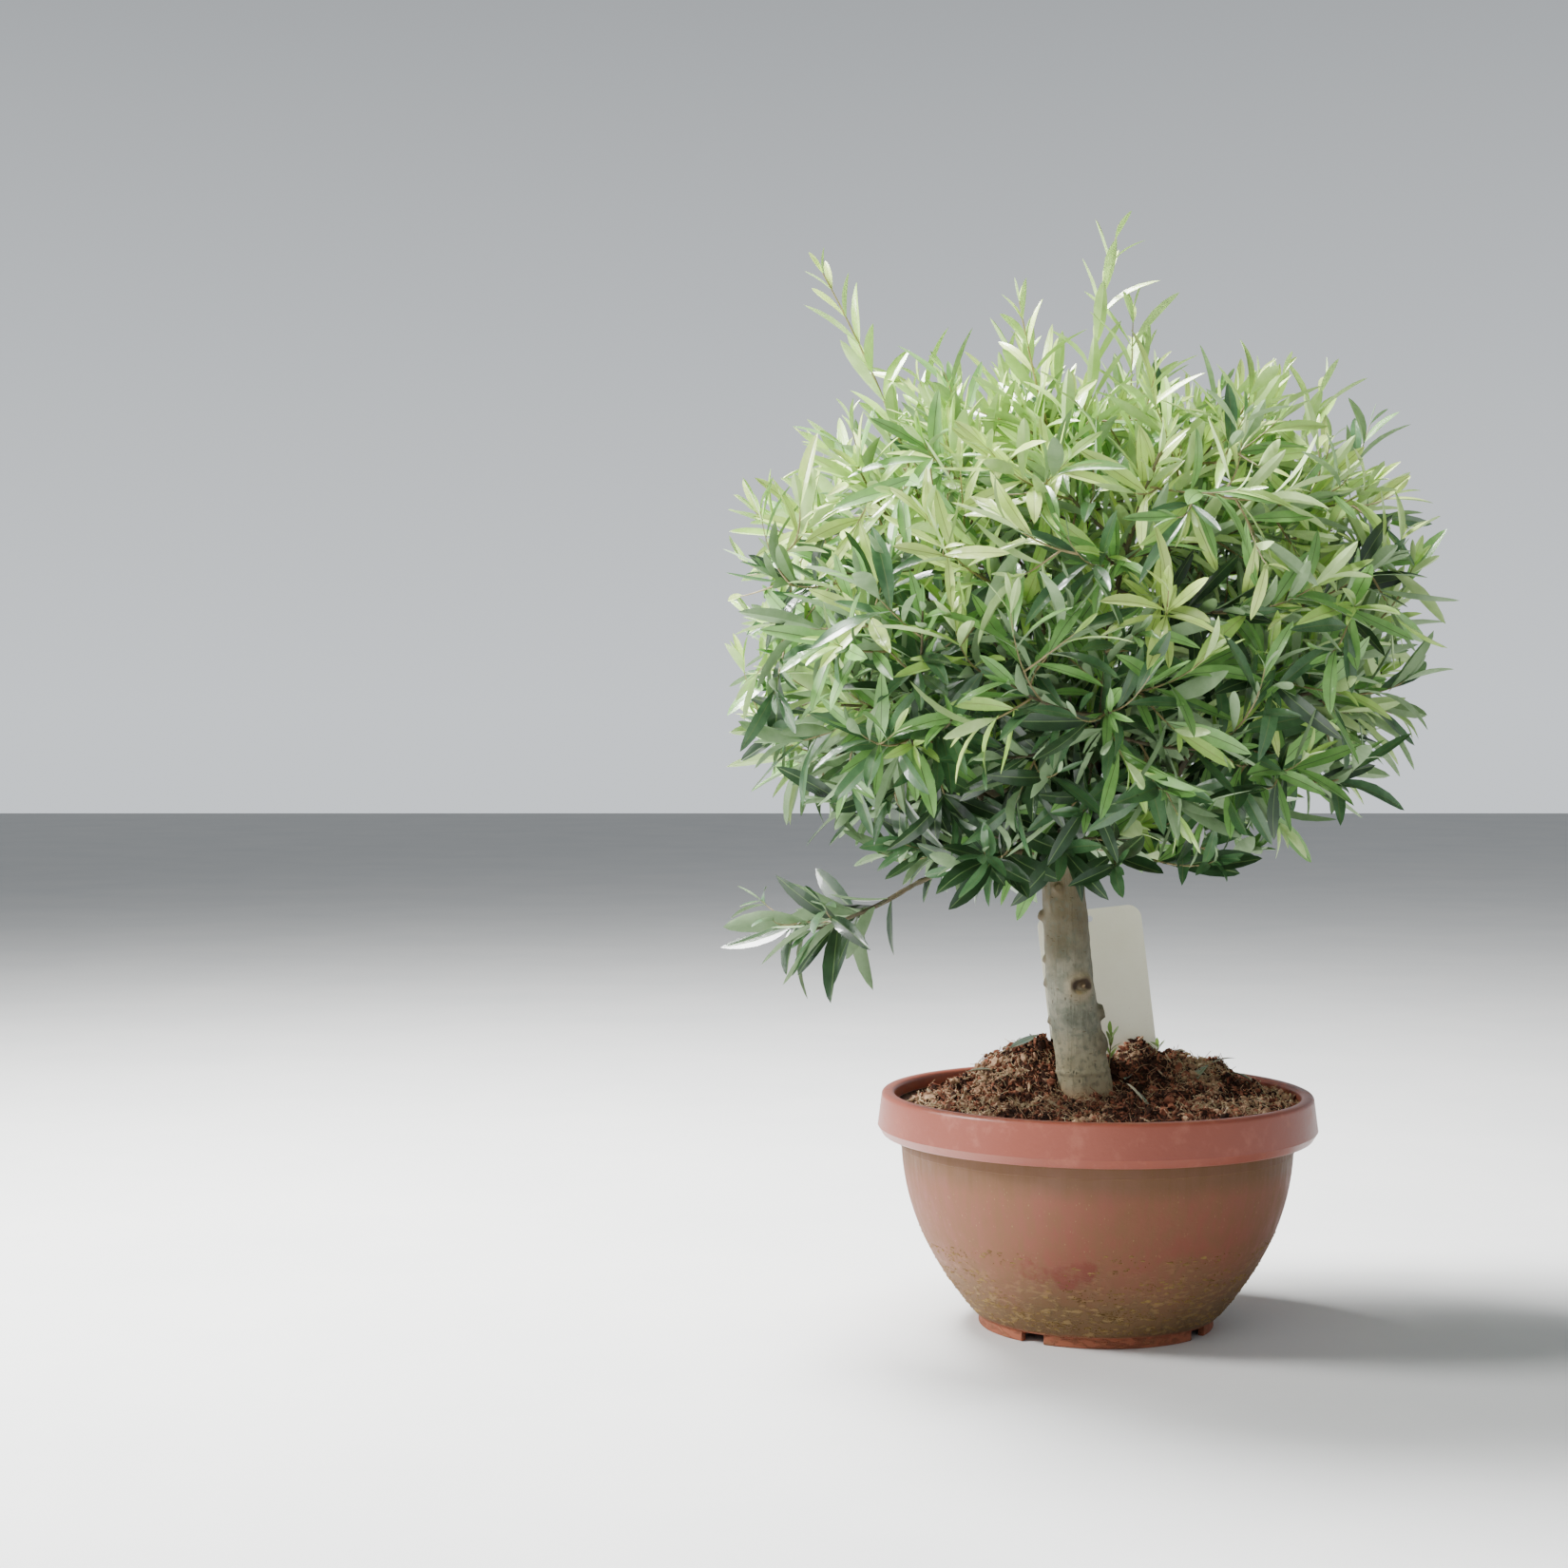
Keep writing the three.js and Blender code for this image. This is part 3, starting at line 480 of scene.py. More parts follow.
def add_cutter(kind, turn, ring, **settings):
    """A primitive cutter on a ring round the axis, turned to face outwards."""
    place = (ring * cos(radians(turn)), ring * sin(radians(turn)), 0)
    kind(location=place, rotation=(0, 0, radians(turn)), **settings)
    return bpy.context.object


bpy.ops.object.select_all(action="DESELECT")
cutters = []
for quarter in range(QUARTERS):
    turn = FIRST_NOTCH + 90 * quarter
    notch_size = (NOTCH_DEPTH, NOTCH_WIDTH, 2 * NOTCH_HEIGHT)
    cutters.append(add_cutter(bpy.ops.mesh.primitive_cube_add, turn, FOOT_RADIUS, size=1, scale=notch_size))
    hole_size = {"vertices": 24, "radius": DRAIN_RADIUS, "depth": 4 * floor_top_z}
    turn = FIRST_DRAIN + 90 * quarter
    cutters.append(add_cutter(bpy.ops.mesh.primitive_cylinder_add, turn, DRAIN_RING, **hole_size))
for cutter in cutters:
    cutter.select_set(True)
bpy.ops.object.join()
cutter = bpy.context.object
openings = pot.modifiers.new("openings", "BOOLEAN")
openings.object = cutter
openings.solver = "EXACT"
pick(pot)
bpy.ops.object.modifier_apply(modifier="openings")
bpy.data.objects.remove(cutter)
smooth(pot, 32)
print("pot_body has", len(pot.data.polygons), "faces after cutting")

# %% [markdown]
# The finish of the pot changes with height. The band is clean, pink and satin. Below it the
# plastic has a film of dust with fine upright streaks where water ran down, a darker brown ring
# just under the band, and mud on the lower part. One clean reddish
# patch on the front shows where a hand or a hose wiped it. All of these are masks over
# the same plastic.

# %% Finish of the pot
BAND_PINK = paint(138, 72, 56)
BAND_PINK_PALE = paint(154, 88, 70)
BOWL_RED = paint(124, 60, 43)
BOWL_DUST = paint(116, 82, 54)
BOWL_WIPED = paint(112, 48, 34)
UNDER_BAND_BROWN = paint(96, 68, 40)
MUD_OCHRE = paint(106, 82, 50)
MUD_PALE = paint(146, 120, 74)
FOOT_ORANGE = paint(178, 94, 70)
# Wiped places: where, radius and strength.
WIPED = [
    ((-0.042, -0.150, 0.072), 0.021, 1.0),
    ((-0.030, -0.152, 0.077), 0.021, 1.0),
    ((-0.069, -0.138, 0.074), 0.022, 0.8),
]
STREAK_STRETCH = (1, 1, 0.09)
FLAKE_STRETCH = (1, 1, 2.6)
GRIT_STRETCH = (1, 1, 0.6)
# How far under the step line the darker brown ring under the band ends and begins.
UNDER_BAND_DROPS = (0.022, 0.006)


def near_place(tree, place, radius):
    """A soft round mask about a place on the object."""
    here = add_node(tree, "ShaderNodeTexCoord").outputs["Object"]
    away = add_node(tree, "ShaderNodeVectorMath", {0: here, 1: place}, operation="DISTANCE").outputs["Value"]
    return cut(tree, away, radius, radius / 2)


def pot_finish():
    finish, tree, shader = new_finish("pot_plastic", roughness=0.5)
    in_band = mask_of(tree, "fade", Low=band_foot_z, High=band_foot_z + 0.0004, Ragged=0.0)
    low, high = (step_line_z - drop for drop in UNDER_BAND_DROPS)
    under_band_ring = mask_of(tree, "fade", Low=low, High=high, Ragged=0.016, Scale=45.0)
    in_mud = mask_of(tree, "fade", Low=0.092, High=0.030, Ragged=0.075, Scale=16.0)
    in_foot = mask_of(tree, "fade", Low=FOOT_HEIGHT + 0.002, High=FOOT_HEIGHT - 0.001, Ragged=0.003)
    blotches = mask_of(tree, "mottle", Scale=13.0, Low=0.40, High=0.62)
    streaks = mask_of(tree, "mottle", Scale=150.0, Stretch=STREAK_STRETCH, Low=0.38, High=0.62)
    grit = mask_of(tree, "flecks", Scale=300.0, Stretch=GRIT_STRETCH, Size=0.12, Edge=0.09)
    grit = work_out(tree, "MULTIPLY", grit, mask_of(tree, "mottle", Scale=120.0, Low=0.48, High=0.58))
    flakes = mask_of(tree, "mottle", Scale=95.0, Stretch=FLAKE_STRETCH, Low=0.50, High=0.60)
    scuffs = mask_of(tree, "mottle", Scale=60.0, Low=0.54, High=0.72)
    patchy = mask_of(tree, "mottle", Scale=70.0, Low=0.30, High=0.70)
    wiped = 0.0
    for place, radius, strength in WIPED:
        near_wiped = work_out(tree, "MULTIPLY", near_place(tree, place, radius), strength)
        wiped = work_out(tree, "MAXIMUM", wiped, near_wiped)
    wiped = work_out(tree, "ADD", level(tree, wiped, 0.0, 0.5), level(tree, patchy, 0.0, 0.5))
    wiped = cut(tree, wiped, 0.52, 0.74)
    film = work_out(tree, "ADD", level(tree, blotches, 0.1, 0.5), level(tree, streaks, 0.0, 0.5))
    dust = work_out(tree, "MULTIPLY", film, 0.9)
    bowl = blend(tree, dust, BOWL_RED, BOWL_DUST)
    bowl = over(tree, bowl, MUD_PALE, grit, 0.55)
    bowl = over(tree, bowl, blend(tree, flakes, MUD_OCHRE, MUD_PALE), in_mud, 0.86)
    bowl = over(tree, bowl, UNDER_BAND_BROWN, under_band_ring, 0.72)
    bowl = over(tree, bowl, BOWL_WIPED, wiped, 0.8)
    muddy_foot = blend(tree, level(tree, scuffs, 0.3, 0.9), FOOT_ORANGE, MUD_OCHRE)
    bowl = over(tree, bowl, muddy_foot, in_foot, 0.8)
    band = blend(tree, scuffs, BAND_PINK, BAND_PINK_PALE)
    rough_bowl = level(tree, work_out(tree, "MAXIMUM", in_mud, dust), 0.5, 0.88)
    rough_band = level(tree, scuffs, 0.36, 0.5)
    below_band = arithmetic(tree, "SUBTRACT", 1.0, in_band)
    caked = work_out(tree, "MULTIPLY", work_out(tree, "MULTIPLY", flakes, in_mud), below_band)
    skin = relief(tree, mask_of(tree, "mottle", Scale=260.0, Low=0.2, High=0.8), 0.00012)
    roughness = add_node(tree, "ShaderNodeMix", {0: in_band, 2: rough_bowl, 3: rough_band})
    feed(tree, shader, Base_Color=blend(tree, in_band, bowl, band), Roughness=roughness.outputs[0])
    feed(tree, shader, Normal=relief(tree, caked, 0.0013, skin))
    return finish


def settle(piece, slot, *nodes):
    """Every finished piece rides on the one body and stands for its nodes. The slot is not used."""
    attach(piece, "root")
    if nodes:
        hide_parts(*nodes)
    print(piece.name, "has", len(piece.data.polygons), "faces")


pot.data.materials.append(pot_finish())
settle(pot, "terracotta_plastic", "pot")

# %% [markdown]
# ## Joined copies
#
# Mud flakes, soil crumbs, twigs and leaves come in hundreds or thousands. Thousands of objects
# would be slow and are awkward to keep, so each kind becomes one mesh. A small model is
# made once as an array of corners and triangles, each copy is that array turned, scaled and moved,
# and all copies are stacked and handed to Blender together.

# %% Array helpers
def joined_mesh(name, corners, triangles, finishes, finish_numbers=None):
    """One mesh object from stacked corners and triangles, with a finish number for each triangle."""
    mesh = bpy.data.meshes.new(name)
    mesh.vertices.add(len(corners))
    mesh.vertices.foreach_set("co", np.ravel(corners).astype(np.float32))
    mesh.loops.add(3 * len(triangles))
    mesh.loops.foreach_set("vertex_index", np.ravel(triangles).astype(np.int32))
    mesh.polygons.add(len(triangles))
    mesh.polygons.foreach_set("loop_start", np.arange(0, 3 * len(triangles), 3, dtype=np.int32))
    for finish in finishes:
        mesh.materials.append(finish)
    if finish_numbers is not None:
        mesh.polygons.foreach_set("material_index", np.asarray(finish_numbers, dtype=np.int32))
    mesh.update(calc_edges=True)
    piece = bpy.data.objects.new(name, mesh)
    bpy.context.scene.collection.objects.link(piece)
    return piece


def copies(corners, triangles):
    """Stacks copies (n, corners, 3) of one model into one list of corners and one of triangles."""
    count, size = corners.shape[:2]
    shifted = triangles[None] + size * np.arange(count)[:, None, None]
    return corners.reshape(-1, 3), shifted.reshape(-1, 3)


def placed(shapes, frames, places, triangles):
    """Stacks copies of one model, each turned into its frame and moved to its place."""
    return copies(np.einsum("ncj,nji->nci", shapes, frames) + places[:, None], triangles)


def add_piece(name, stacked, finishes, slot, nodes=(), numbers=None, angle=0):
    """Makes stacked copies one piece, smooths it if an angle is given, and settles it."""
    piece = joined_mesh(name, *stacked, finishes, numbers)
    if angle:
        smooth(piece, angle)
    settle(piece, slot, *nodes)


def unit(vectors):
    """Vectors scaled to length one."""
    return vectors / np.maximum(np.linalg.norm(vectors, axis=-1, keepdims=True), 1e-12)


def mostly_low(random, ends, count, power):
    """Draws between two ends, with more of them near the first one."""
    low, high = ends
    return low + (high - low) * random.random(count) ** power


def random_turns(random, count):
    """Turns in every direction, as matrices (n, 3, 3)."""
    first = unit(random.normal(size=(count, 3)))
    second = unit(np.cross(first, random.normal(size=(count, 3))))
    return np.stack([first, second, np.cross(first, second)], axis=1)


def model_from_primitive(add, **settings):
    """The corners and triangles of a Blender primitive, which is then removed."""
    bpy.ops.object.select_all(action="DESELECT")
    add(**settings)
    primitive = bpy.context.object
    mesh = primitive.data
    mesh.calc_loop_triangles()
    corners = np.array([vertex.co[:] for vertex in mesh.vertices])
    triangles = np.array([triangle.vertices[:] for triangle in mesh.loop_triangles])
    bpy.data.objects.remove(primitive)
    return corners, triangles


ball = {"subdivisions": 1, "radius": 1}
crumb_corners, crumb_triangles = model_from_primitive(bpy.ops.mesh.primitive_ico_sphere_add, **ball)
print("crumb model:", len(crumb_triangles), "triangles")


# %% [markdown]
# Dried mud lifts off the lower wall in small scales that catch the light. Bump alone leaves the
# outline smooth, so real flakes are laid on the wall in level groups: the round crumb model
# pressed flat, wider than high, and each copy bent out of shape by a little random shift.

# %% Mud flakes on the pot
FLAKE_COUNT = 2600
FLAKE_GROUPS = 300
FLAKE_HEIGHTS = (0.016, 0.092)
FLAKE_THICKNESS = 0.0007
FLAKE_HALF_WIDTHS = (0.0006, 0.0036)
# How far the flakes of a group lie from its middle, upwards and as a turn round the pot.
GROUP_HEIGHT = 0.0022
GROUP_TURN = 0.09

random = np.random.default_rng(5)


def crumbs(random, sizes, frames, places, shift=0.25):
    """Copies of the crumb model with half sizes (n, 3), in frames (n, 3, 3), at places (n, 3)."""
    shapes = crumb_corners[None] + random.uniform(-shift, shift, (len(sizes), *crumb_corners.shape))
    return placed(shapes * sizes[:, None], frames, places, crumb_triangles)


group = random.integers(FLAKE_GROUPS, size=FLAKE_COUNT)
group_heights = mostly_low(random, FLAKE_HEIGHTS, FLAKE_GROUPS, 1.8)
heights = group_heights[group] + GROUP_HEIGHT * random.normal(size=FLAKE_COUNT)
heights = np.maximum(heights, FLAKE_HEIGHTS[0])
turns = random.uniform(0, 2 * pi, FLAKE_GROUPS)[group] + GROUP_TURN * random.normal(size=FLAKE_COUNT)
outward = np.stack([np.cos(turns), np.sin(turns), np.zeros(FLAKE_COUNT)], axis=1)
slopes = (bowl_radius(heights + 0.001) - bowl_radius(heights - 0.001)) / 0.002
wall_up = unit(np.stack([slopes * outward[:, 0], slopes * outward[:, 1], np.ones(FLAKE_COUNT)], axis=1))
sideways = np.stack([-outward[:, 1], outward[:, 0], outward[:, 2]], axis=1)
frames = np.stack([sideways, wall_up, np.cross(sideways, wall_up)], axis=1)
half_widths = mostly_low(random, FLAKE_HALF_WIDTHS, FLAKE_COUNT, 2.4)
half_heights = half_widths * random.uniform(0.22, 0.45, FLAKE_COUNT)
sizes = np.stack([half_widths, half_heights, np.full(FLAKE_COUNT, FLAKE_THICKNESS)], axis=1)
places = outward * bowl_radius(heights)[:, None]
places[:, 2] = heights
mud_finish, tree, shader = new_finish("dried_mud", roughness=0.92, specular=0.2)
cloud = mask_of(tree, "mottle", Scale=40.0, Low=0.35, High=0.65)
feed(tree, shader, Base_Color=blend(tree, cloud, MUD_OCHRE, MUD_PALE))
add_piece("mud_flakes", crumbs(random, sizes, frames, places), [mud_finish], "potting_soil", angle=50)

# %% [markdown]
# ## Compost
#
# The bowl is filled with coarse compost of bark, coir and peat. It was tipped in behind the trunk
# and left as two heaps, with a clod on the right one. In front it lies a centimetre or two under
# the lip, and it sinks towards the rim, more on the left than on the right. The body of it is a
# spun piece again, with many rings on top, and each ring's vertices are then lifted to the
# height that the heaps give there. Noise adds the lumps.

# %% Body of the compost
SOIL_EDGE_Z = 0.205
SOIL_RING_COUNT = 56
SOIL_GAP = 0.0006
# Two heaps and a clod: place on X and on Y, spread to the sides, front and back, and height.
HEAPS = [
    (-0.056, 0.048, 0.034, 0.032, 0.046, 0.042),
    (0.064, 0.048, 0.060, 0.034, 0.050, 0.033),
    (0.042, 0.050, 0.012, 0.010, 0.012, 0.012),
]
LUMP_HEIGHT = 0.0074
LUMPS_PER_METRE = 38
CLOD_HEIGHT = 0.0044
CLODS_PER_METRE = 120
CALM_EDGE = 0.012
HEAP_FOOT = 0.042
EDGE_DROP = 0.009
EDGE_SLOPE = -0.030

soil_wall_radius = wall_top_radius - WALL - SOIL_GAP
soil_edge_radius = lip_inner_radius - 2 * SOIL_GAP


def fractal(place, per_metre, octaves=3):
    """Cloudy noise about zero at a place in metres."""
    return noise.fractal(Vector(place) * per_metre, 0.8, 2.0, octaves)


def soil_height(x, y):
    """The height of the compost, without the lumps. It sinks a little towards the rim."""
    inward = min(max((soil_edge_radius - hypot(x, y)) / HEAP_FOOT, 0.0), 1.0)
    height = SOIL_EDGE_Z - (EDGE_DROP + EDGE_SLOPE * x) * (1 - inward)
    for middle_x, middle_y, side, front, back, rise in HEAPS:
        across = (x - middle_x) / side
        along = (y - middle_y) / (front if y < middle_y else back)
        height += rise * exp(-(across ** 2 + along ** 2) / 2) * inward
    return height


def lumpy_height(x, y):
    """The height of the compost with its lumps, which calm down towards the rim."""
    calm = min(max((soil_edge_radius - hypot(x, y)) / CALM_EDGE, 0.0), 1.0)
    lumps = LUMP_HEIGHT * fractal((x, y, 0), LUMPS_PER_METRE)
    clods = CLOD_HEIGHT * fractal((x, y, 1), CLODS_PER_METRE)
    return soil_height(x, y) + calm * (lumps + clods)


soil_outline = [
    (0, floor_top_z + SOIL_GAP),
    (bowl_radius(floor_top_z + WALL) - 3 * WALL, floor_top_z + SOIL_GAP),
    *bowl_wall(WALL + SOIL_GAP, floor_top_z + 2 * WALL, band_foot_z),
    (soil_wall_radius, lip_shoulder_z - 3 * LIP_ROUND),
    (soil_edge_radius, lip_shoulder_z - 2 * LIP_ROUND),
    *[(soil_edge_radius * share, SOIL_EDGE_Z) for share in np.linspace(1, 0, SOIL_RING_COUNT)],
]
soil = spun("compost", soil_outline)
for vertex in soil.data.vertices:
    if vertex.co.z > SOIL_EDGE_Z - SOIL_GAP:
        vertex.co.z = lumpy_height(vertex.co.x, vertex.co.y)
print("compost rises to", round(max(vertex.co.z for vertex in soil.data.vertices), 3), "m")

# %% [markdown]
# Moist compost is nearly black in the cracks and red-brown where bark shows, with tan chips
# and straw-coloured fibres on top. One small function makes each of these finishes from two
# colours, since only the colours and the coarseness differ.

# %% Finishes of the compost
def earthy(name, dark, light, scale=90.0, roughness=0.95):
    """A dull finish that wanders between two colours, with a grainy relief."""
    finish, tree, shader = new_finish(name, roughness=roughness, specular=0.25)
    patches = mask_of(tree, "mottle", Scale=scale, Low=0.36, High=0.64)
    grain = mask_of(tree, "mottle", Scale=5 * scale, Low=0.25, High=0.75)
    feed(tree, shader, Base_Color=blend(tree, patches, dark, light), Normal=relief(tree, grain, 0.0005))
    return finish


peat = earthy("peat", paint(36, 22, 16), paint(78, 49, 36))
bark_bits = earthy("bark_bits", paint(92, 52, 38), paint(172, 110, 84))
coir = earthy("coir", paint(134, 98, 76), paint(206, 170, 136))
wood_chips = earthy("wood_chips", paint(156, 124, 94), paint(222, 200, 166), scale=200.0)
straw = earthy("straw", paint(176, 150, 112), paint(228, 208, 170), scale=200.0)
soil.data.materials.append(peat)
smooth(soil, 60)
settle(soil, "potting_soil", "soil")

# %% [markdown]
# What makes compost look like compost is its bits. They are scattered over the surface, more
# of them small than large, and partly sunk in: round crumbs in three colours, fine grit of eight
# faces a grain, flat splinters of bark and wood, thin bent fibres and a few sticks. The light
# kinds lie in patches, and more of them towards the sides as painted light on the compost's flanks.

# %% Crumbs and chips
CRUMB_COUNT = 5200
CRUMB_SIZES = (0.0009, 0.0042)
CRUMB_CHOICES = [0.44, 0.36, 0.20]
GRIT_COUNT = 24000
PATCHES_PER_METRE = 26
PATCH_STRENGTH = 0.85
# How much paler the bits are drawn for each metre to the sides: painted light on the compost's sides.
SIDE_PAINTED_LIGHT = 2.4
UNLIT_MIDDLE_HALF_WIDTH = 0.055
GRIT_SIZES = (0.0004, 0.0015)
CHIP_COUNT = 2400
CHIP_CHOICES = [0.48, 0.29, 0.23]
CHIP_LENGTHS = (0.0016, 0.0085)
TRUNK_FOOT = np.array([-0.008, 0.0])
TRUNK_FOOT_CLEAR = 0.022
CHIP_RISE = 0.0012
SLOPE_STEP = 0.002


def scattered(random, count):
    """Places on top of the compost, clear of the trunk, and the way the surface faces there."""
    turns = random.uniform(0, 2 * pi, 2 * count)
    radii = soil_edge_radius * np.sqrt(random.random(2 * count))
    flat = np.stack([radii * np.cos(turns), radii * np.sin(turns)], axis=1)
    flat = flat[np.linalg.norm(flat - TRUNK_FOOT, axis=1) > TRUNK_FOOT_CLEAR][:count]
    heights = np.array([lumpy_height(x, y) for x, y in flat])
    rises_x = np.array([lumpy_height(x + SLOPE_STEP, y) for x, y in flat]) - heights
    rises_y = np.array([lumpy_height(x, y + SLOPE_STEP) for x, y in flat]) - heights
    facing = unit(np.stack([-rises_x, -rises_y, np.full(count, SLOPE_STEP)], axis=1))
    return np.column_stack([flat, heights]), facing


def laid_frames(random, facing, tilt):
    """Frames whose third axis is the surface's own, tilted a little, and turned at random."""
    up = unit(facing + tilt * random.normal(size=facing.shape))
    side = unit(np.cross(up, random.normal(size=facing.shape)))
    return np.stack([side, np.cross(up, side), up], axis=1)


def picked(random, places, shares, faces_each):
    """The finish number of every face of scattered bits. Light kinds lie in patches, and at the sides as
    painted light.
    """
    clouds = np.array([fractal(place, PATCHES_PER_METRE) for place in places])
    # Paler bits towards both sides are painted light on the compost's flanks.
    side_light = SIDE_PAINTED_LIGHT * (np.abs(places[:, 0]) - UNLIT_MIDDLE_HALF_WIDTH)
    draws = np.clip(random.random(len(places)) + PATCH_STRENGTH * clouds + side_light, 0, 0.999)
    return np.repeat(np.searchsorted(np.cumsum(shares)[:-1], draws), faces_each)


random = np.random.default_rng(11)
places, facing = scattered(random, CRUMB_COUNT)
sizes = mostly_low(random, CRUMB_SIZES, (CRUMB_COUNT, 1), 3)
sizes = sizes * random.uniform(0.35, 1.45, (CRUMB_COUNT, 3))
places += facing * sizes[:, :1] * random.uniform(0.1, 0.8, (CRUMB_COUNT, 1))
numbers = picked(random, places, CRUMB_CHOICES, len(crumb_triangles))
stacked = crumbs(random, sizes, random_turns(random, CRUMB_COUNT), places)
add_piece("crumbs", stacked, [peat, bark_bits, coir], "potting_soil", ["soil"], numbers, angle=35)

grit_corners = np.array([(1, 0, 0), (-1, 0, 0), (0, 1, 0), (0, -1, 0), (0, 0, 1), (0, 0, -1)], dtype=float)
upper_half = [(0, 2, 4), (2, 1, 4), (1, 3, 4), (3, 0, 4)]
lower_half = [(2, 0, 5), (1, 2, 5), (3, 1, 5), (0, 3, 5)]
grit_triangles = np.array(upper_half + lower_half)
places, facing = scattered(random, GRIT_COUNT)
sizes = random.uniform(*GRIT_SIZES, (GRIT_COUNT, 1)) * random.uniform(0.5, 1.8, (GRIT_COUNT, 3))
places += facing * sizes[:, :1] * random.uniform(0.2, 1.4, (GRIT_COUNT, 1))
stacked = placed(grit_corners * sizes[:, None], random_turns(random, GRIT_COUNT), places, grit_triangles)
numbers = picked(random, places, CRUMB_CHOICES, len(grit_triangles))
add_piece("grit", stacked, [peat, bark_bits, coir], "potting_soil", ["soil"], numbers)

places, facing = scattered(random, CHIP_COUNT)
half_lengths = mostly_low(random, CHIP_LENGTHS, CHIP_COUNT, 2.6)
half_widths = half_lengths * random.uniform(0.08, 0.30, CHIP_COUNT)
sizes = np.stack([half_lengths, half_widths, half_widths * random.uniform(0.25, 0.5, CHIP_COUNT)], axis=1)
places += facing * (CHIP_RISE + sizes[:, 2:])
numbers = picked(random, places, CHIP_CHOICES, len(crumb_triangles))
stacked = crumbs(random, sizes, laid_frames(random, facing, 0.45), places, shift=0.2)
add_piece("chips", stacked, [bark_bits, coir, wood_chips], "potting_soil", ["soil"], numbers, angle=30)

# %% [markdown]
# Fibres, fallen sticks, and later the twigs are all thin tubes along a bent line. A tube here is
# a few rings of corners round the line, closed at both ends. All tubes of one kind are made in one go:
# the lines are an array with one row for each tube.

# %% Tubes along lines
def tubes(lines, radii, sides=4):
    """Closed tubes: lines (n, points, 3) and radii (n, points). Gives corners and triangles."""
    count, points = lines.shape[:2]
    along = unit(np.gradient(lines, axis=1))
    rough = np.where(np.abs(along[:, :1, 2:]) < 0.9, (0.0, 0.0, 1.0), (1.0, 0.0, 0.0))
    first = unit(np.cross(along, np.broadcast_to(rough, along.shape)))
    second = np.cross(along, first)
    turns = 2 * pi * np.arange(sides) / sides
    round_way = np.cos(turns)[:, None] * first[:, :, None] + np.sin(turns)[:, None] * second[:, :, None]
    rings = lines[:, :, None] + radii[:, :, None, None] * round_way
    corners = rings.reshape(count, points * sides, 3)
    corners = np.concatenate([corners, lines[:, :1], lines[:, -1:]], axis=1)
    triangles = []
    foot, top = points * sides, points * sides + 1
    for side in range(sides):
        after = (side + 1) % sides
        triangles.append((foot, after, side))
        triangles.append((top, (points - 1) * sides + side, (points - 1) * sides + after))
        for ring in range(points - 1):
            low_side, low_after = ring * sides + side, ring * sides + after
            triangles.append((low_side, low_after, low_after + sides))
            triangles.append((low_side, low_after + sides, low_side + sides))
    return copies(corners, np.array(triangles))


def wandering_lines(random, places, facing, lengths, bend, points=6):
    """Bent lines that lie on the surface, each centred on its place."""
    frames = laid_frames(random, facing, 0.15)
    shares = np.linspace(-0.5, 0.5, points)
    curls = random.uniform(-bend, bend, (len(places), 2, 1))
    across = curls[:, 0] * shares ** 2 + curls[:, 1] * shares ** 3 * 2
    lift = 0.06 * (0.25 - shares ** 2) * np.ones_like(across)
    local = np.stack([np.broadcast_to(shares, across.shape), across, lift], axis=2) * lengths[:, None, None]
    return places[:, None] + np.einsum("npj,nji->npi", local, frames)


FIBRE_COUNT = 3600
FIBRE_LENGTHS = (0.004, 0.020)
FIBRE_RADIUS = 0.00030
FIBRE_CHOICES = [0.36, 0.42, 0.22]
FIBRE_RISES = (0.0008, 0.0030)
STICK_COUNT = 16
STICK_LENGTHS = (0.016, 0.036)
STICK_RADIUS = 0.0011
STICK_RISE = 0.003

places, facing = scattered(random, FIBRE_COUNT)
places += random.uniform(*FIBRE_RISES, (FIBRE_COUNT, 1)) * facing
lines = wandering_lines(random, places, facing, random.uniform(*FIBRE_LENGTHS, FIBRE_COUNT), 1.6)
stacked = tubes(lines, np.full(lines.shape[:2], FIBRE_RADIUS), sides=3)
numbers = picked(random, places, FIBRE_CHOICES, len(stacked[1]) // FIBRE_COUNT)
add_piece("fibres", stacked, [bark_bits, coir, straw], "potting_soil", ["soil"], numbers)

places, facing = scattered(random, STICK_COUNT)
places += STICK_RISE * facing
lines = wandering_lines(random, places, facing, random.uniform(*STICK_LENGTHS, STICK_COUNT), 0.5)
thickness = STICK_RADIUS * random.uniform(0.6, 1.3, (STICK_COUNT, 1)) * np.linspace(1.1, 0.7, lines.shape[1])
add_piece("sticks", tubes(lines, thickness, sides=6), [wood_chips], "potting_soil", ["soil"], angle=50)

# %% [markdown]
# ## Trunk and boughs
#
# The trunk leans a little to the left, swells where it meets the compost, and ends in a knobby
# head where the young tree was once cut back. Five boughs rise from the head, and six side boughs fork
# from the first four. A bent limb of changing thickness is what a Blender curve with a bevel gives, so
# the trunk and every bough become one curve object with a spline for each. The numbers
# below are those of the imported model, but the foot is cut four millimetres lower in the compost.

# %% Sizes of the trunk
TRUNK_FOOT_Z = 0.202
TRUNK_LINE = [
    (-0.004, -0.001, 0.188),
    (-0.009, 0.000, 0.214),
    (-0.017, 0.001, 0.262),
    (-0.024, 0.002, 0.312),
    (-0.028, 0.003, 0.368),
    (-0.031, 0.004, 0.412),
    (-0.031, 0.005, 0.448),
]
TRUNK_FOOT_RADIUS = 0.025
TRUNK_TOP_RADIUS = 0.0185
ROOT_FLARE = 0.0015
FLARE_START = 0.05
FLARE_LENGTH = 0.07
HEAD_SWELL = 0.005
HEAD_SWELL_ARC = 0.75
HEAD_START = 0.86
HEAD_ROUNDING = 4
HEAD_TOP_SHARE = 0.2
TRUNK_POINTS = 60


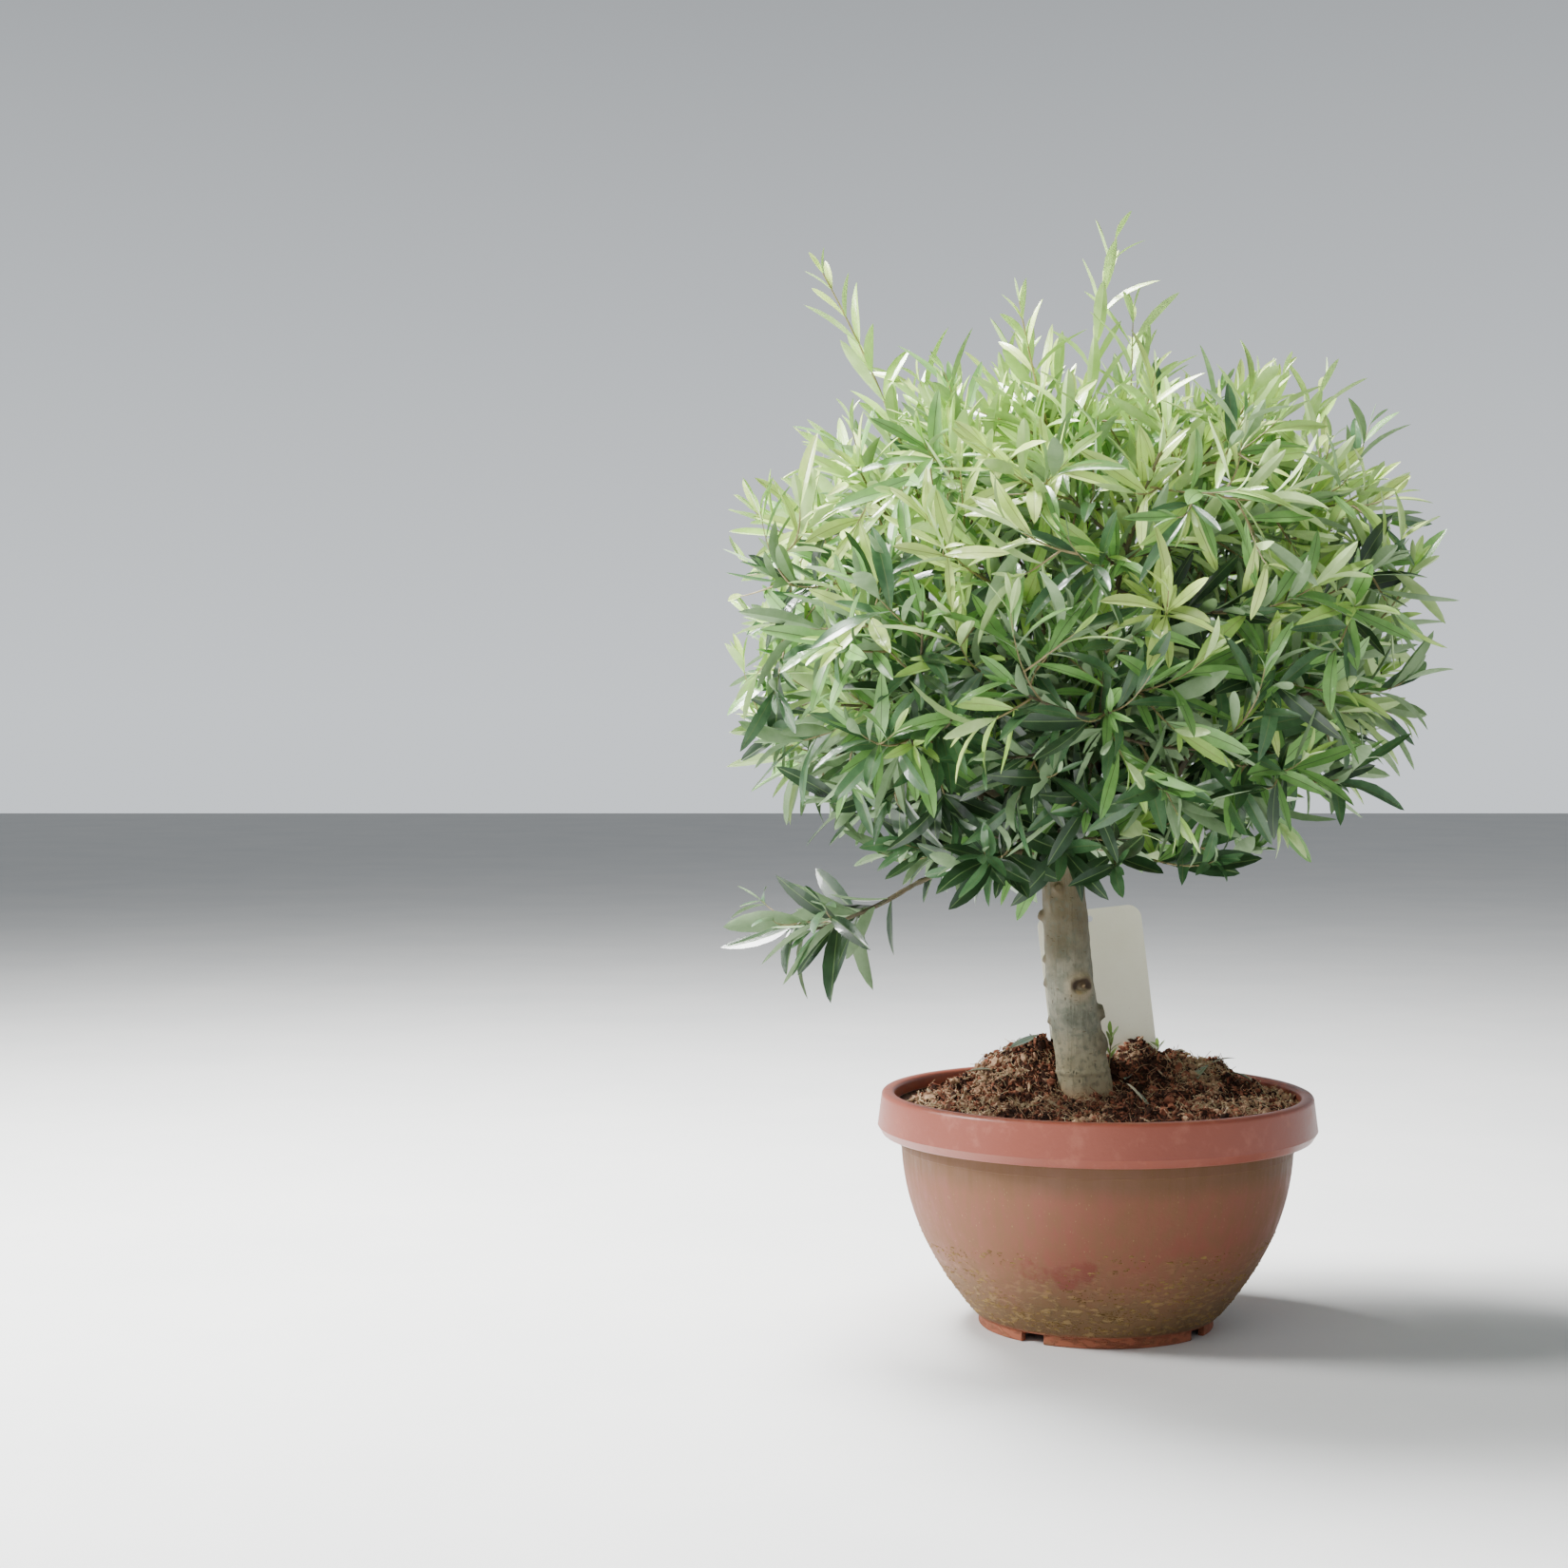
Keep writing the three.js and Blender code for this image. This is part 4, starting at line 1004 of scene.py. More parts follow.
def through(points, count):
    """A smooth line through points, evenly spaced, and as many new points as asked for."""
    known = np.array([points[0], *points, points[-1]])
    known[0] = 2 * known[1] - known[2]
    known[-1] = 2 * known[-2] - known[-3]
    found = []
    for step in np.linspace(0, len(points) - 1, 10 * count):
        index = min(int(step), len(points) - 2)
        share = step - index
        before, start, end, after = known[index:index + 4]
        bend = share ** 2 * (3 - 2 * share)
        leave = share * (1 - share) ** 2 * (end - before) / 2
        arrive = share ** 2 * (share - 1) * (after - start) / 2
        found.append(start + (end - start) * bend + leave + arrive)
    found = np.array(found)
    run = np.concatenate([[0], np.cumsum(np.linalg.norm(np.diff(found, axis=0), axis=1))])
    even = np.linspace(0, run[-1], count)
    return np.stack([np.interp(even, run, found[:, axis]) for axis in range(3)], axis=1)


def trunk_radius(share):
    """The trunk's radius at a share of its length."""
    taper = TRUNK_FOOT_RADIUS + (TRUNK_TOP_RADIUS - TRUNK_FOOT_RADIUS) * share
    flare = ROOT_FLARE * exp(-max(share - FLARE_START, 0) / FLARE_LENGTH)
    if share <= HEAD_START:
        return taper + flare
    in_head = (share - HEAD_START) / (1 - HEAD_START)
    swell = HEAD_SWELL * sin(in_head * pi * HEAD_SWELL_ARC)
    dome = max(max(1 - in_head ** HEAD_ROUNDING, 0) ** 0.5, HEAD_TOP_SHARE)
    return (taper + swell) * dome


trunk_line = through(TRUNK_LINE, TRUNK_POINTS)
trunk_radii = np.array([trunk_radius(share) for share in np.linspace(0, 1, TRUNK_POINTS)])
print("trunk", round(2000 * trunk_radii[TRUNK_POINTS // 3]), "mm thick a third of the way up")

# %% [markdown]
# The crown is laid out by a rule. Its outline is a rounded body a little fuller than an
# ellipsoid. Three tiers of masses share it, and each mass has a centre, from which a
# stream of seeded draws shifts it a little. Each bough is a curve of three control points from the
# head, or from an upper bough, towards its mass. One thin bough hangs out low at the left with a
# spray at its tip, and four short sprouts stand round the head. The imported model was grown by
# this same rule with these same draws, so the limbs come out in the same places.

# %% Layout of the crown
CROWN_CENTRE = np.array([-0.025, 0.0, 0.640])
CROWN_RADII = np.array([0.326, 0.305, 0.222])
CROWN_FULLNESS = 2.6
HEAD = np.array([-0.031, 0.005, 0.440])
TIERS = [
    {"name": "upper", "count": 4, "first": 192, "ring": 0.158, "height": 0.708, "tip": 0.5, "thick": 0.0095},
    {"name": "top", "count": 1, "first": 0, "ring": 0.018, "height": 0.795, "tip": 0.45, "thick": 0.010},
    {"name": "lower", "count": 6, "first": 212, "ring": 0.212, "height": 0.545, "tip": 0.4, "thick": 0.0065},
]
LAYOUT_SEED = 7
FIRST_MASS_SEED = 31
MASS_SEED_STEP = 17
CENTRE_WANDER = 0.014
BOUGH_BOW = 0.32
BOUGH_SAG = 0.16
SIDE_BOUGH_START = 0.3
SIDE_BOUGH_STAGGER = 0.12
STEM_RADIUS = 0.0034
TWIGS_PER_MASS = 9
SPRAY_TIP = np.array([-0.185, -0.070, 0.398])
SPRAY_CENTRE = np.array([-0.262, -0.095, 0.368])
SPRAY_ARCH = 0.028
SPRAY_THICK = 0.0036
SPRAY_THIN = 0.0024
SPRAY_SEED = 13
# Sprouts: direction round the head in degrees, reach and rise.
SPROUTS = [
    (262, 0.118, 0.022),
    (335, 0.112, 0.026),
    (78, 0.116, 0.020),
    (168, 0.108, 0.024),
]
SPROUT_ROOT = HEAD - (0, 0, 0.010)
SPROUT_HEADING_RISE = 0.2
SPROUT_CENTRE_SHARE = 0.62
SPROUT_TWIGS = 3
SPROUT_SEED = 5


def seeded(seed):
    """A stream of draws between 0 and 1 that is the same for the same seed."""
    state = seed

    def draw():
        nonlocal state
        state = (1664525 * state + 1013904223) % 2 ** 32
        return state / 2 ** 32

    return draw


def around(turn, radius, height):
    """A place at a turn in degrees round the upright axis."""
    return np.array([radius * cos(radians(turn)), radius * sin(radians(turn)), height])


def gap(first, second):
    """The distance between two places."""
    return float(np.linalg.norm(np.subtract(first, second)))


def bend_at(curve, share):
    """Points on a curve of three control points, at one share of the way or at many."""
    start, middle, end = curve
    share = np.asarray(share, dtype=float)[..., None]
    return (1 - share) ** 2 * start + 2 * (1 - share) * share * middle + share ** 2 * end


def heading_at(curve, share):
    """The direction of such a curve at one share of the way or at many."""
    start, middle, end = curve
    share = np.asarray(share, dtype=float)[..., None]
    return unit((1 - share) * (middle - start) + share * (end - middle))


def bough_curve(start, end):
    """A line that leaves its carrier outwards and then bends upwards."""
    middle = (start + end) / 2 + (end - start) * (BOUGH_BOW, BOUGH_BOW, 0)
    middle[2] -= BOUGH_SAG * gap(start, end)
    return start, middle, end


def lay_out_tiers():
    """The boughs and the masses of the crown, from the lowest draws on."""
    draw = seeded(LAYOUT_SEED)
    boughs, masses = [], []
    for tier in TIERS:
        for place in range(tier["count"]):
            shift = (2 * np.array([draw(), draw(), draw()]) - 1) * CENTRE_WANDER
            turn = tier["first"] + 360 / tier["count"] * place
            centre = around(turn, tier["ring"], tier["height"]) + CROWN_CENTRE * (1, 1, 0) + shift
            start = HEAD
            if tier["name"] == "lower":
                carriers = [bough["curve"] for bough in boughs if bough["tier"] == "upper"]
                carrier = min(carriers, key=lambda curve: gap(curve[2], centre))
                start = bend_at(carrier, SIDE_BOUGH_START + SIDE_BOUGH_STAGGER * (place % 2))
            curve = bough_curve(start, start + (centre - start) * tier["tip"])
            boughs.append({"tier": tier["name"], "curve": curve, "thick": tier["thick"], "thin": STEM_RADIUS})
            heading = heading_at(curve, 1)
            seed = FIRST_MASS_SEED + MASS_SEED_STEP * len(masses)
            root = curve[2] - STEM_RADIUS * heading
            mass = {"kind": tier["name"], "centre": centre, "root": root, "heading": heading, "seed": seed}
            masses.append({**mass, "twigs": TWIGS_PER_MASS, "reach": 0.5})
    return boughs, masses


def lay_out_low_growth():
    """The low spray with its thin bough, and the sprouts round the head of the trunk."""
    middle = (SPROUT_ROOT + SPRAY_TIP) / 2 + (0, 0, SPRAY_ARCH)
    curve = (SPROUT_ROOT, middle, SPRAY_TIP)
    bough = {"tier": "spray", "curve": curve, "thick": SPRAY_THICK, "thin": SPRAY_THIN}
    heading = heading_at(curve, 1)
    mass = {"kind": "spray", "centre": SPRAY_CENTRE, "root": SPRAY_TIP - SPRAY_THIN * heading}
    masses = [{**mass, "heading": heading, "seed": SPRAY_SEED, "twigs": 0, "reach": 0}]
    for turn, reach, rise in SPROUTS:
        centre = SPROUT_ROOT + around(turn, reach * SPROUT_CENTRE_SHARE, rise)
        heading = unit(around(turn, 1, SPROUT_HEADING_RISE))
        mass = {"kind": "sprout", "centre": centre, "root": SPROUT_ROOT, "heading": heading}
        masses.append({**mass, "seed": SPROUT_SEED + turn, "twigs": SPROUT_TWIGS, "reach": 0.5})
    return bough, masses


boughs, masses = lay_out_tiers()
low_bough, low_masses = lay_out_low_growth()
boughs.append(low_bough)
masses += low_masses
print(len(boughs), "boughs carry", len(masses), "masses with the sprouts")

# %% [markdown]
# The splines are turned into a mesh, the stubs of cut twigs are added as short cones, and a Voxel
# Remesh grows all of it into one skin. That makes the forks run into each other as living wood does,
# and it gives even small faces, which the bark's relief needs in the next step.

# %% One skin for trunk and boughs
BOUGH_POINTS = 16
VOXEL = 0.00135
# Cut stubs: share of the way up, direction round the trunk in degrees, radius and stand-out.
STUBS = [
    (0.70, 176, 0.0050, 0.0046),
    (0.33, 174, 0.0038, 0.0034),
    (0.46, 178, 0.0040, 0.0026),
    (0.55, 184, 0.0034, 0.0024),
    (0.35, 354, 0.0075, 0.0040),
    (0.25, 338, 0.0090, 0.0018),
    (0.60, 40, 0.0050, 0.0026),
    (0.38, 98, 0.0060, 0.0026),
    (0.80, 250, 0.0050, 0.0030),
]


def add_spline(curve_data, line, radii):
    """Adds a limb to a curve object, by its points and its radius at each."""
    spline = curve_data.splines.new("POLY")
    spline.points.add(len(line) - 1)
    for point, place, radius in zip(spline.points, line, radii):
        point.co = (*place, 1)
        point.radius = radius


def skin_of_limbs():
    """All limbs as one closed skin."""
    curve_data = bpy.data.curves.new("limbs", "CURVE")
    curve_data.dimensions = "3D"
    curve_data.bevel_depth = 1
    curve_data.bevel_resolution = 8
    curve_data.use_fill_caps = True
    add_spline(curve_data, trunk_line, trunk_radii)
    for bough in boughs:
        shares = np.linspace(0, 1, BOUGH_POINTS)
        swollen = bough["thick"] * (1 + 0.35 * np.exp(-shares / 0.08))
        radii = swollen + (bough["thin"] - bough["thick"]) * shares
        add_spline(curve_data, bend_at(bough["curve"], shares), radii)
    limbs = bpy.data.objects.new("limbs", curve_data)
    bpy.context.scene.collection.objects.link(limbs)
    pick(limbs)
    bpy.ops.object.convert(target="MESH")
    limbs = bpy.context.object
    for up, turn, wide, out in STUBS:
        index = round(up * (TRUNK_POINTS - 1))
        outward = around(turn, 1, 0.25)
        place = trunk_line[index] + outward * trunk_radii[index]
        stub_places.append(place)
        facing = Vector(outward).to_track_quat("Z", "Y").to_euler()
        bpy.ops.mesh.primitive_cone_add(vertices=24, radius1=1.3 * wide, radius2=0.8 * wide, depth=2 * out,
                                        location=place, rotation=facing)
        bpy.context.object.select_set(True)
        limbs.select_set(True)
        bpy.context.view_layer.objects.active = limbs
        bpy.ops.object.join()
    remesh = limbs.modifiers.new("skin", "REMESH")
    remesh.mode = "VOXEL"
    remesh.voxel_size = VOXEL
    rounded = limbs.modifiers.new("rounded", "SMOOTH")
    rounded.factor = 0.5
    rounded.iterations = 3
    bpy.ops.object.modifier_apply(modifier="skin")
    bpy.ops.object.modifier_apply(modifier="rounded")
    bpy.ops.object.mode_set(mode="EDIT")
    bpy.ops.mesh.select_all(action="SELECT")
    bpy.ops.mesh.bisect(plane_co=(0, 0, TRUNK_FOOT_Z), plane_no=(0, 0, 1), use_fill=True, clear_inner=True)
    bpy.ops.mesh.select_all(action="SELECT")
    bpy.ops.mesh.quads_convert_to_tris()
    bpy.ops.object.mode_set(mode="OBJECT")
    return limbs


stub_places = []
limbs = skin_of_limbs()
print("limbs have", len(limbs.data.polygons), "faces")

# %% [markdown]
# Young olive bark is smooth but never even. Every vertex of the skin is pushed along its normal by a
# sum of small forms: long shallow waves, fine upright lines, pits, a raised ring just above the
# compost, and one oval scar, where a branch was taken off, with a rolled rim, a hollow and a core
# to one side. They are real shape, so they show in the outline and in the mesh.

# %% Relief of the bark
WAVE_HEIGHT = 0.0009
LINE_HEIGHT = 0.0002
PIT_HEIGHT = 0.0006
RING_Z = 0.232
RING_SPREAD = 0.0020
RING_HEIGHT = 0.0010
SCAR_UP = 0.48
SCAR_TURN = 292
SCAR_TILT = 20
SCAR_HALF_WIDTH = 0.0104
SCAR_HALF_HEIGHT = 0.0078
SCAR_RIM = 0.0022
SCAR_HOLLOW = 0.0046
SCAR_CORE = 0.0044
BOUGH_SHARE = 0.45

scar_index = round(SCAR_UP * (TRUNK_POINTS - 1))
scar_outward = around(SCAR_TURN, 1, 0)
scar_side = around(SCAR_TURN + 90, 1, 0)
scar_tilt = radians(SCAR_TILT)
scar_place = trunk_line[scar_index] + scar_outward * trunk_radii[scar_index]


def bark_relief(place):
    """How far the bark stands out at a place."""
    x, y, z = place
    waves = WAVE_HEIGHT * noise.fractal(Vector((26 * x, 26 * y, 17 * z)), 0.7, 2.0, 3)
    lines = LINE_HEIGHT * noise.noise(Vector((190 * x, 190 * y, 24 * z)))
    pits = PIT_HEIGHT * noise.noise(Vector((150 * x, 150 * y, 120 * z)))
    if z > HEAD[2]:
        return BOUGH_SHARE * (waves + lines + pits)
    ring = RING_HEIGHT * exp(-(((z - RING_Z - 0.03 * x) / RING_SPREAD) ** 2))
    away = np.subtract(place, scar_place)
    level_part, upright_part = np.dot(away, scar_side), away[2]
    across = (level_part * cos(scar_tilt) + upright_part * sin(scar_tilt)) / SCAR_HALF_WIDTH
    upwards = (upright_part * cos(scar_tilt) - level_part * sin(scar_tilt)) / SCAR_HALF_HEIGHT
    reach = hypot(across, upwards)
    if reach > 2.5 or np.dot(away, scar_outward) < -TRUNK_FOOT_RADIUS:
        return waves + lines + pits + ring
    rim = SCAR_RIM * exp(-(((reach - 1) / 0.34) ** 2))
    hollow = SCAR_HOLLOW * exp(-((reach / 0.62) ** 4))
    core = SCAR_CORE * exp(-((hypot(across - 0.34, upwards) / 0.26) ** 2))
    return waves + lines + pits + ring + rim - hollow + core


heights = [bark_relief(vertex.co) for vertex in limbs.data.vertices]
moves = [vertex.normal * height for vertex, height in zip(limbs.data.vertices, heights)]
for vertex, move in zip(limbs.data.vertices, moves):
    vertex.co += move
limbs.data.update()
print("relief from", round(1000 * min(heights), 2), "to", round(1000 * max(heights), 2), "mm")

# %% [markdown]
# The bark's colour is pale grey-beige with grey-green clouds and brown freckles. It is more beige
# low down, which is partly its own colour and partly painted light that lifts the shade near the
# compost, has a warm stain where wet compost touches it, and turns browner and darker towards the
# head, as painted shade under the crown. The same groups as on the pot give all of these.

# %% Finish of the bark
BARK_PALE = paint(138, 134, 116)
BARK_GREEN = paint(90, 94, 80)
BARK_BROWN_AND_SHADE = paint(92, 76, 50)
BARK_FRECKLE = paint(74, 68, 54)
BARK_STAIN = paint(152, 116, 84)
BARK_SCAR_DARK_AND_SHADE = paint(52, 36, 24)
BARK_WOOD = paint(186, 160, 120)
BARK_BEIGE_AND_LIGHT = paint(178, 164, 130)
# Stains of the scar: how far to the side and up, radius, strength and colour. The wide pale one
# is pale wood and a painted highlight on the scar's rim, and the dark ones are dark wood and
# painted shade in its hollow.
SCAR_STAINS = [
    (0.0, 0.0, 0.0180, 0.35, BARK_WOOD),
    (-0.0044, 0.0012, 0.0082, 0.95, BARK_SCAR_DARK_AND_SHADE),
    (0.0036, 0.0026, 0.0076, 0.95, BARK_SCAR_DARK_AND_SHADE),
    (0.0078, 0.0004, 0.0046, 0.8, BARK_SCAR_DARK_AND_SHADE),
    (0.0002, 0.0012, 0.0052, 0.75, BARK_BROWN_AND_SHADE),
    (-0.0026, -0.0046, 0.0042, 0.95, BARK_WOOD),
    (0.0026, -0.0010, 0.0030, 0.80, BARK_WOOD),
]
UPRIGHT = (1, 1, 0.45)
UPRIGHT_LINES = (1, 1, 0.10)
LEVEL_LINES = (0.7, 0.7, 2.4)


def bark_finish():
    finish, tree, shader = new_finish("olive_bark", roughness=0.72, specular=0.35)
    clouds = mask_of(tree, "mottle", Scale=34.0, Low=0.38, High=0.62)
    spots = mask_of(tree, "mottle", Scale=190.0, Low=0.50, High=0.62)
    lines = mask_of(tree, "mottle", Scale=190.0, Stretch=UPRIGHT_LINES, Low=0.50, High=0.68)
    slits = mask_of(tree, "flecks", Scale=120.0, Stretch=LEVEL_LINES, Size=0.10, Edge=0.08)
    freckles = mask_of(tree, "flecks", Scale=210.0, Stretch=UPRIGHT, Size=0.12, Edge=0.10)
    where = mask_of(tree, "mottle", Scale=26.0, Low=0.48, High=0.60)
    upper = mask_of(tree, "fade", Low=0.30, High=0.38, Ragged=0.08, Scale=22.0)
    lower = mask_of(tree, "fade", Low=0.275, High=0.235, Ragged=0.05, Scale=40.0)
    foot = mask_of(tree, "fade", Low=0.226, High=0.208, Ragged=0.020, Scale=60.0)
    colour = blend(tree, clouds, BARK_PALE, BARK_GREEN)
    # Browner and darker towards the head: painted shade under the crown.
    colour = over(tree, colour, BARK_BROWN_AND_SHADE, upper, 0.75)
    # More beige low down: the bark's own colour, and painted light that lifts the shade near the compost.
    colour = over(tree, colour, BARK_BEIGE_AND_LIGHT, lower, 0.7)
    colour = over(tree, colour, BARK_GREEN, spots, 0.55)
    colour = over(tree, colour, BARK_BROWN_AND_SHADE, lines, 0.12)
    colour = over(tree, colour, BARK_BROWN_AND_SHADE, slits, 0.6)
    freckled = work_out(tree, "MULTIPLY", freckles, level(tree, where, 0.25, 0.9))
    colour = blend(tree, freckled, colour, BARK_FRECKLE)
    for place, (_, _, wide, _) in zip(stub_places, STUBS):
        near_stub = near_place(tree, tuple(place), 1.9 * wide)
        colour = blend(tree, work_out(tree, "MULTIPLY", near_stub, 0.5), colour, BARK_BROWN_AND_SHADE)
    # Scar stains: pale wood with a painted highlight on the rim, dark wood with painted shade in the hollow.
    for across, up, radius, strength, scar_colour in SCAR_STAINS:
        middle = tuple(scar_place + across * scar_side + (0, 0, up))
        stain = work_out(tree, "MULTIPLY", near_place(tree, middle, radius), strength)
        colour = blend(tree, stain, colour, scar_colour)
    colour = over(tree, colour, BARK_STAIN, foot, 0.6)
    skin = relief(tree, mask_of(tree, "mottle", Scale=420.0, Stretch=UPRIGHT, Low=0.2, High=0.8), 0.0003)
    feed(tree, shader, Base_Color=colour, Roughness=level(tree, clouds, 0.62, 0.8))
    feed(tree, shader, Normal=relief(tree, work_out(tree, "MAXIMUM", lines, slits), 0.0005, skin))
    return finish


bark = bark_finish()
limbs.data.materials.append(bark)
smooth(limbs, 70)
bough_nodes = [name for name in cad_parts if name.startswith("bough_")]
settle(limbs, "olive_bark", "trunk", *bough_nodes)

# %% [markdown]
# ## Twigs
#
# Each mass is a stem that goes on from its bough, and twigs that leave the stem well below their
# tips. The tip of each new twig is the one of fourteen drawn places that lies farthest from all
# the tips so far, so the twigs spread evenly. A drawn place counts only where it is in the mass's own
# space, which is where no other mass's centre is nearer, and between two depths of the crown.

# %% Space of each mass
TIP_DEPTHS = (0.3, 0.88)
TIP_CANDIDATES = 14
CELL_MARGIN = 0.0006
LIMB_MARGIN = 0.001
TWIG_RADIUS = 0.002

centres = np.array([mass["centre"] for mass in masses])
bough_shares = np.linspace(0, 1, BOUGH_POINTS)
bough_places = [bend_at(bough["curve"], bough_shares) for bough in boughs]
bough_widths = [np.linspace(bough["thick"], bough["thin"], BOUGH_POINTS) for bough in boughs]
limb_places = np.concatenate([trunk_line, *bough_places])
limb_widths = np.concatenate([trunk_radii + HEAD_SWELL / 2, *bough_widths])


def crown_depth(points):
    """How far out points are: 0 at the crown's centre and 1 on its skin."""
    away = np.abs((points - CROWN_CENTRE) / CROWN_RADII)
    return np.sum(away ** CROWN_FULLNESS, axis=-1) ** (1 / CROWN_FULLNESS)


def in_own_space(points, number):
    """Whether points are in one mass's own space."""
    others = np.delete(centres, number, axis=0)
    to_own = np.sum((points - centres[number]) ** 2, axis=-1)[..., None]
    to_others = np.sum((points[..., None, :] - others) ** 2, axis=-1)
    between = np.linalg.norm(others - centres[number], axis=-1)
    return np.all((to_others - to_own) / 2 / between > CELL_MARGIN, axis=-1)


def clear_of_limbs(points, width):
    """Whether points of a width are off the trunk and the boughs."""
    gaps = np.linalg.norm(points[..., None, :] - limb_places, axis=-1) - limb_widths
    return np.all(gaps > width + LIMB_MARGIN, axis=-1)


def drawn_place(number, draw):
    """The next drawn place that is in a mass's space and between the two depths."""
    while True:
        place = CROWN_CENTRE + CROWN_RADII * (2 * np.array([draw(), draw(), draw()]) - 1)
        if TIP_DEPTHS[0] < crown_depth(place) < TIP_DEPTHS[1] and in_own_space(place, number):
            return place


print("limbs are kept clear at", len(limb_places), "places")

# %% First twigs
STEM_LEAD = 0.45
STEM_PLACES = 20
TWIG_BACKSET = 0.55
TWIG_SAG = 0.12
TWIG_STARTS = (0.1, 0.9)
SHOOT_START = 0.45
LEAFLESS_SHOOT_END = 0.03
# Long upright shoots: the number of the mass that carries each, its tip and its sideways bow.
SHOOTS = [
    (0, (-0.262, -0.030, 0.982), (0.024, 0, 0)),
    (4, (0.020, -0.012, 1.030), (-0.014, 0.004, 0)),
    (4, (-0.084, -0.046, 0.955), (-0.010, -0.004, 0)),
    (4, (0.062, 0.062, 0.925), (0.012, 0.010, 0)),
    (2, (0.176, -0.020, 0.892), (0.014, 0, 0)),
    (3, (-0.060, 0.168, 0.905), (0, 0.016, 0)),
]


def length_of(curve):
    """The length of a curve of three control points."""
    return float(np.sum(np.linalg.norm(np.diff(bend_at(curve, np.linspace(0, 1, 21)), axis=0), axis=1)))


def twig_to(carrier, tip):
    """A twig that leaves its carrier well below its tip, sags a little and turns up again."""
    gaps = np.linalg.norm(bend_at(carrier, np.linspace(0, 1, STEM_PLACES + 1)) - tip, axis=1)
    nearest = int(np.argmin(gaps))
    share = nearest / STEM_PLACES - TWIG_BACKSET * gaps[nearest] / length_of(carrier)
    start = bend_at(carrier, min(max(share, TWIG_STARTS[0]), TWIG_STARTS[1]))
    return start, (start + tip) / 2 - (0, 0, TWIG_SAG * gap(start, tip)), tip


def stem_of(mass):
    """A mass's stem, from its bough's tip past the centre of the mass."""
    end = mass["centre"] + (mass["centre"] - mass["root"]) * mass["reach"]
    return mass["root"], mass["root"] + mass["heading"] * gap(mass["root"], end) * STEM_LEAD, end


def first_twigs(number):
    """The stem and twigs of a mass, as curves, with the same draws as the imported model."""
    mass = masses[number]
    draw = seeded(mass["seed"])
    stem = stem_of(mass)
    twigs, tips = [stem], [stem[2], mass["root"]]
    for _ in range(mass["twigs"]):
        drawn = np.array([drawn_place(number, draw) for _ in range(TIP_CANDIDATES)])
        nearest = np.min(np.linalg.norm(drawn[:, None] - np.array(tips), axis=-1), axis=1)
        tip = drawn[int(np.argmax(nearest))]
        tips.append(tip)
        twig = twig_to(stem, tip)
        clear = np.all(clear_of_limbs(bend_at(twig, (0.5, 0.75, 1)), TWIG_RADIUS))
        if clear and np.all(in_own_space(bend_at(twig, (0.25, 0.5, 0.75, 1)), number)):
            twigs.append(twig)
    return twigs


def long_shoot(number, tip, bow):
    """A long upright shoot from the middle of a mass's stem."""
    start = bend_at(stem_of(masses[number]), SHOOT_START)
    tip = tip - LEAFLESS_SHOOT_END * unit(tip - start)
    return start, (start + tip) / 2 + bow, tip


twigs_of = [first_twigs(number) for number in range(len(masses))]
shoots = [long_shoot(*shoot) for shoot in SHOOTS]
print(sum(len(twigs) for twigs in twigs_of), "first twigs and", len(shoots), "long shoots")

# %% [markdown]
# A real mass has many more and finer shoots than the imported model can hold. The same rule
# makes them: more tips are drawn, now nearer to the crown's skin, and each new shoot leaves the
# twig that is nearest to its tip. It sets off along its carrier before it bends away, which gives
# the forward sweep of olive shoots. A few dozen short shoots then stand up out of the top of the
# crown, nine of them taller than the rest, as they do on a tree that was clipped last year.
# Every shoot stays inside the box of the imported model.

# %% Finer shoots
SHOOT_COUNTS = {"upper": 46, "top": 48, "lower": 42, "spray": 4, "sprout": 15}
SHOOT_DEPTHS = {"upper": (0.45, 0.95), "top": (0.45, 0.95), "lower": (0.42, 0.93), "sprout": (0.0, 1.04)}
SHOOT_LEAD = 0.16
SHOOT_SAG = 0.20
LONGEST_SHOOT = 0.17
DRAWN_AT_ONCE = 9000
cad_low, cad_high = np.array(cad_box)
SPRAY_SPREAD = (0.050, 0.035, 0.030)
BOX_MARGIN = 0.012
UPRIGHT_COUNT = 60
UPRIGHT_TALL = 9
UPRIGHT_LOWEST = 0.70
UPRIGHT_WIDEST = 0.86
UPRIGHT_LENGTHS = (0.050, 0.170)
UPRIGHT_TOPS = (0.768, 0.852)
TALLER_BY = 0.075
UPRIGHT_OUTWARD = (0.5, 0.5, 0)
UPRIGHT_SPREAD = 0.13
UPRIGHT_LEAST = 0.02
UPRIGHT_ROOTED = 0.03
UPRIGHT_BOW = 0.06


def shoot_places(number, random):
    """Many places where the tips of a mass's finer shoots may be."""
    mass = masses[number]
    if mass["kind"] == "spray":
        return mass["centre"] + SPRAY_SPREAD * random.uniform(-1, 1, (40, 3))
    places = CROWN_CENTRE + CROWN_RADII * random.uniform(-1, 1, (DRAWN_AT_ONCE, 3))
    depths = crown_depth(places)
    low, high = SHOOT_DEPTHS[mass["kind"]]
    return places[(depths > low) & (depths < high) & in_own_space(places, number)]


def sweep_to(carrier, tip):
    """A shoot that sets off along its carrier and then bends to its tip."""
    start, _, _ = twig_to(carrier, tip)
    shares = np.linspace(0, 1, STEM_PLACES + 1)
    nearest = int(np.argmin(np.linalg.norm(bend_at(carrier, shares) - start, axis=1)))
    size = gap(start, tip)
    lead = SHOOT_LEAD * size * heading_at(carrier, shares[nearest])
    return start, (start + tip) / 2 + lead - (0, 0, SHOOT_SAG * size), tip


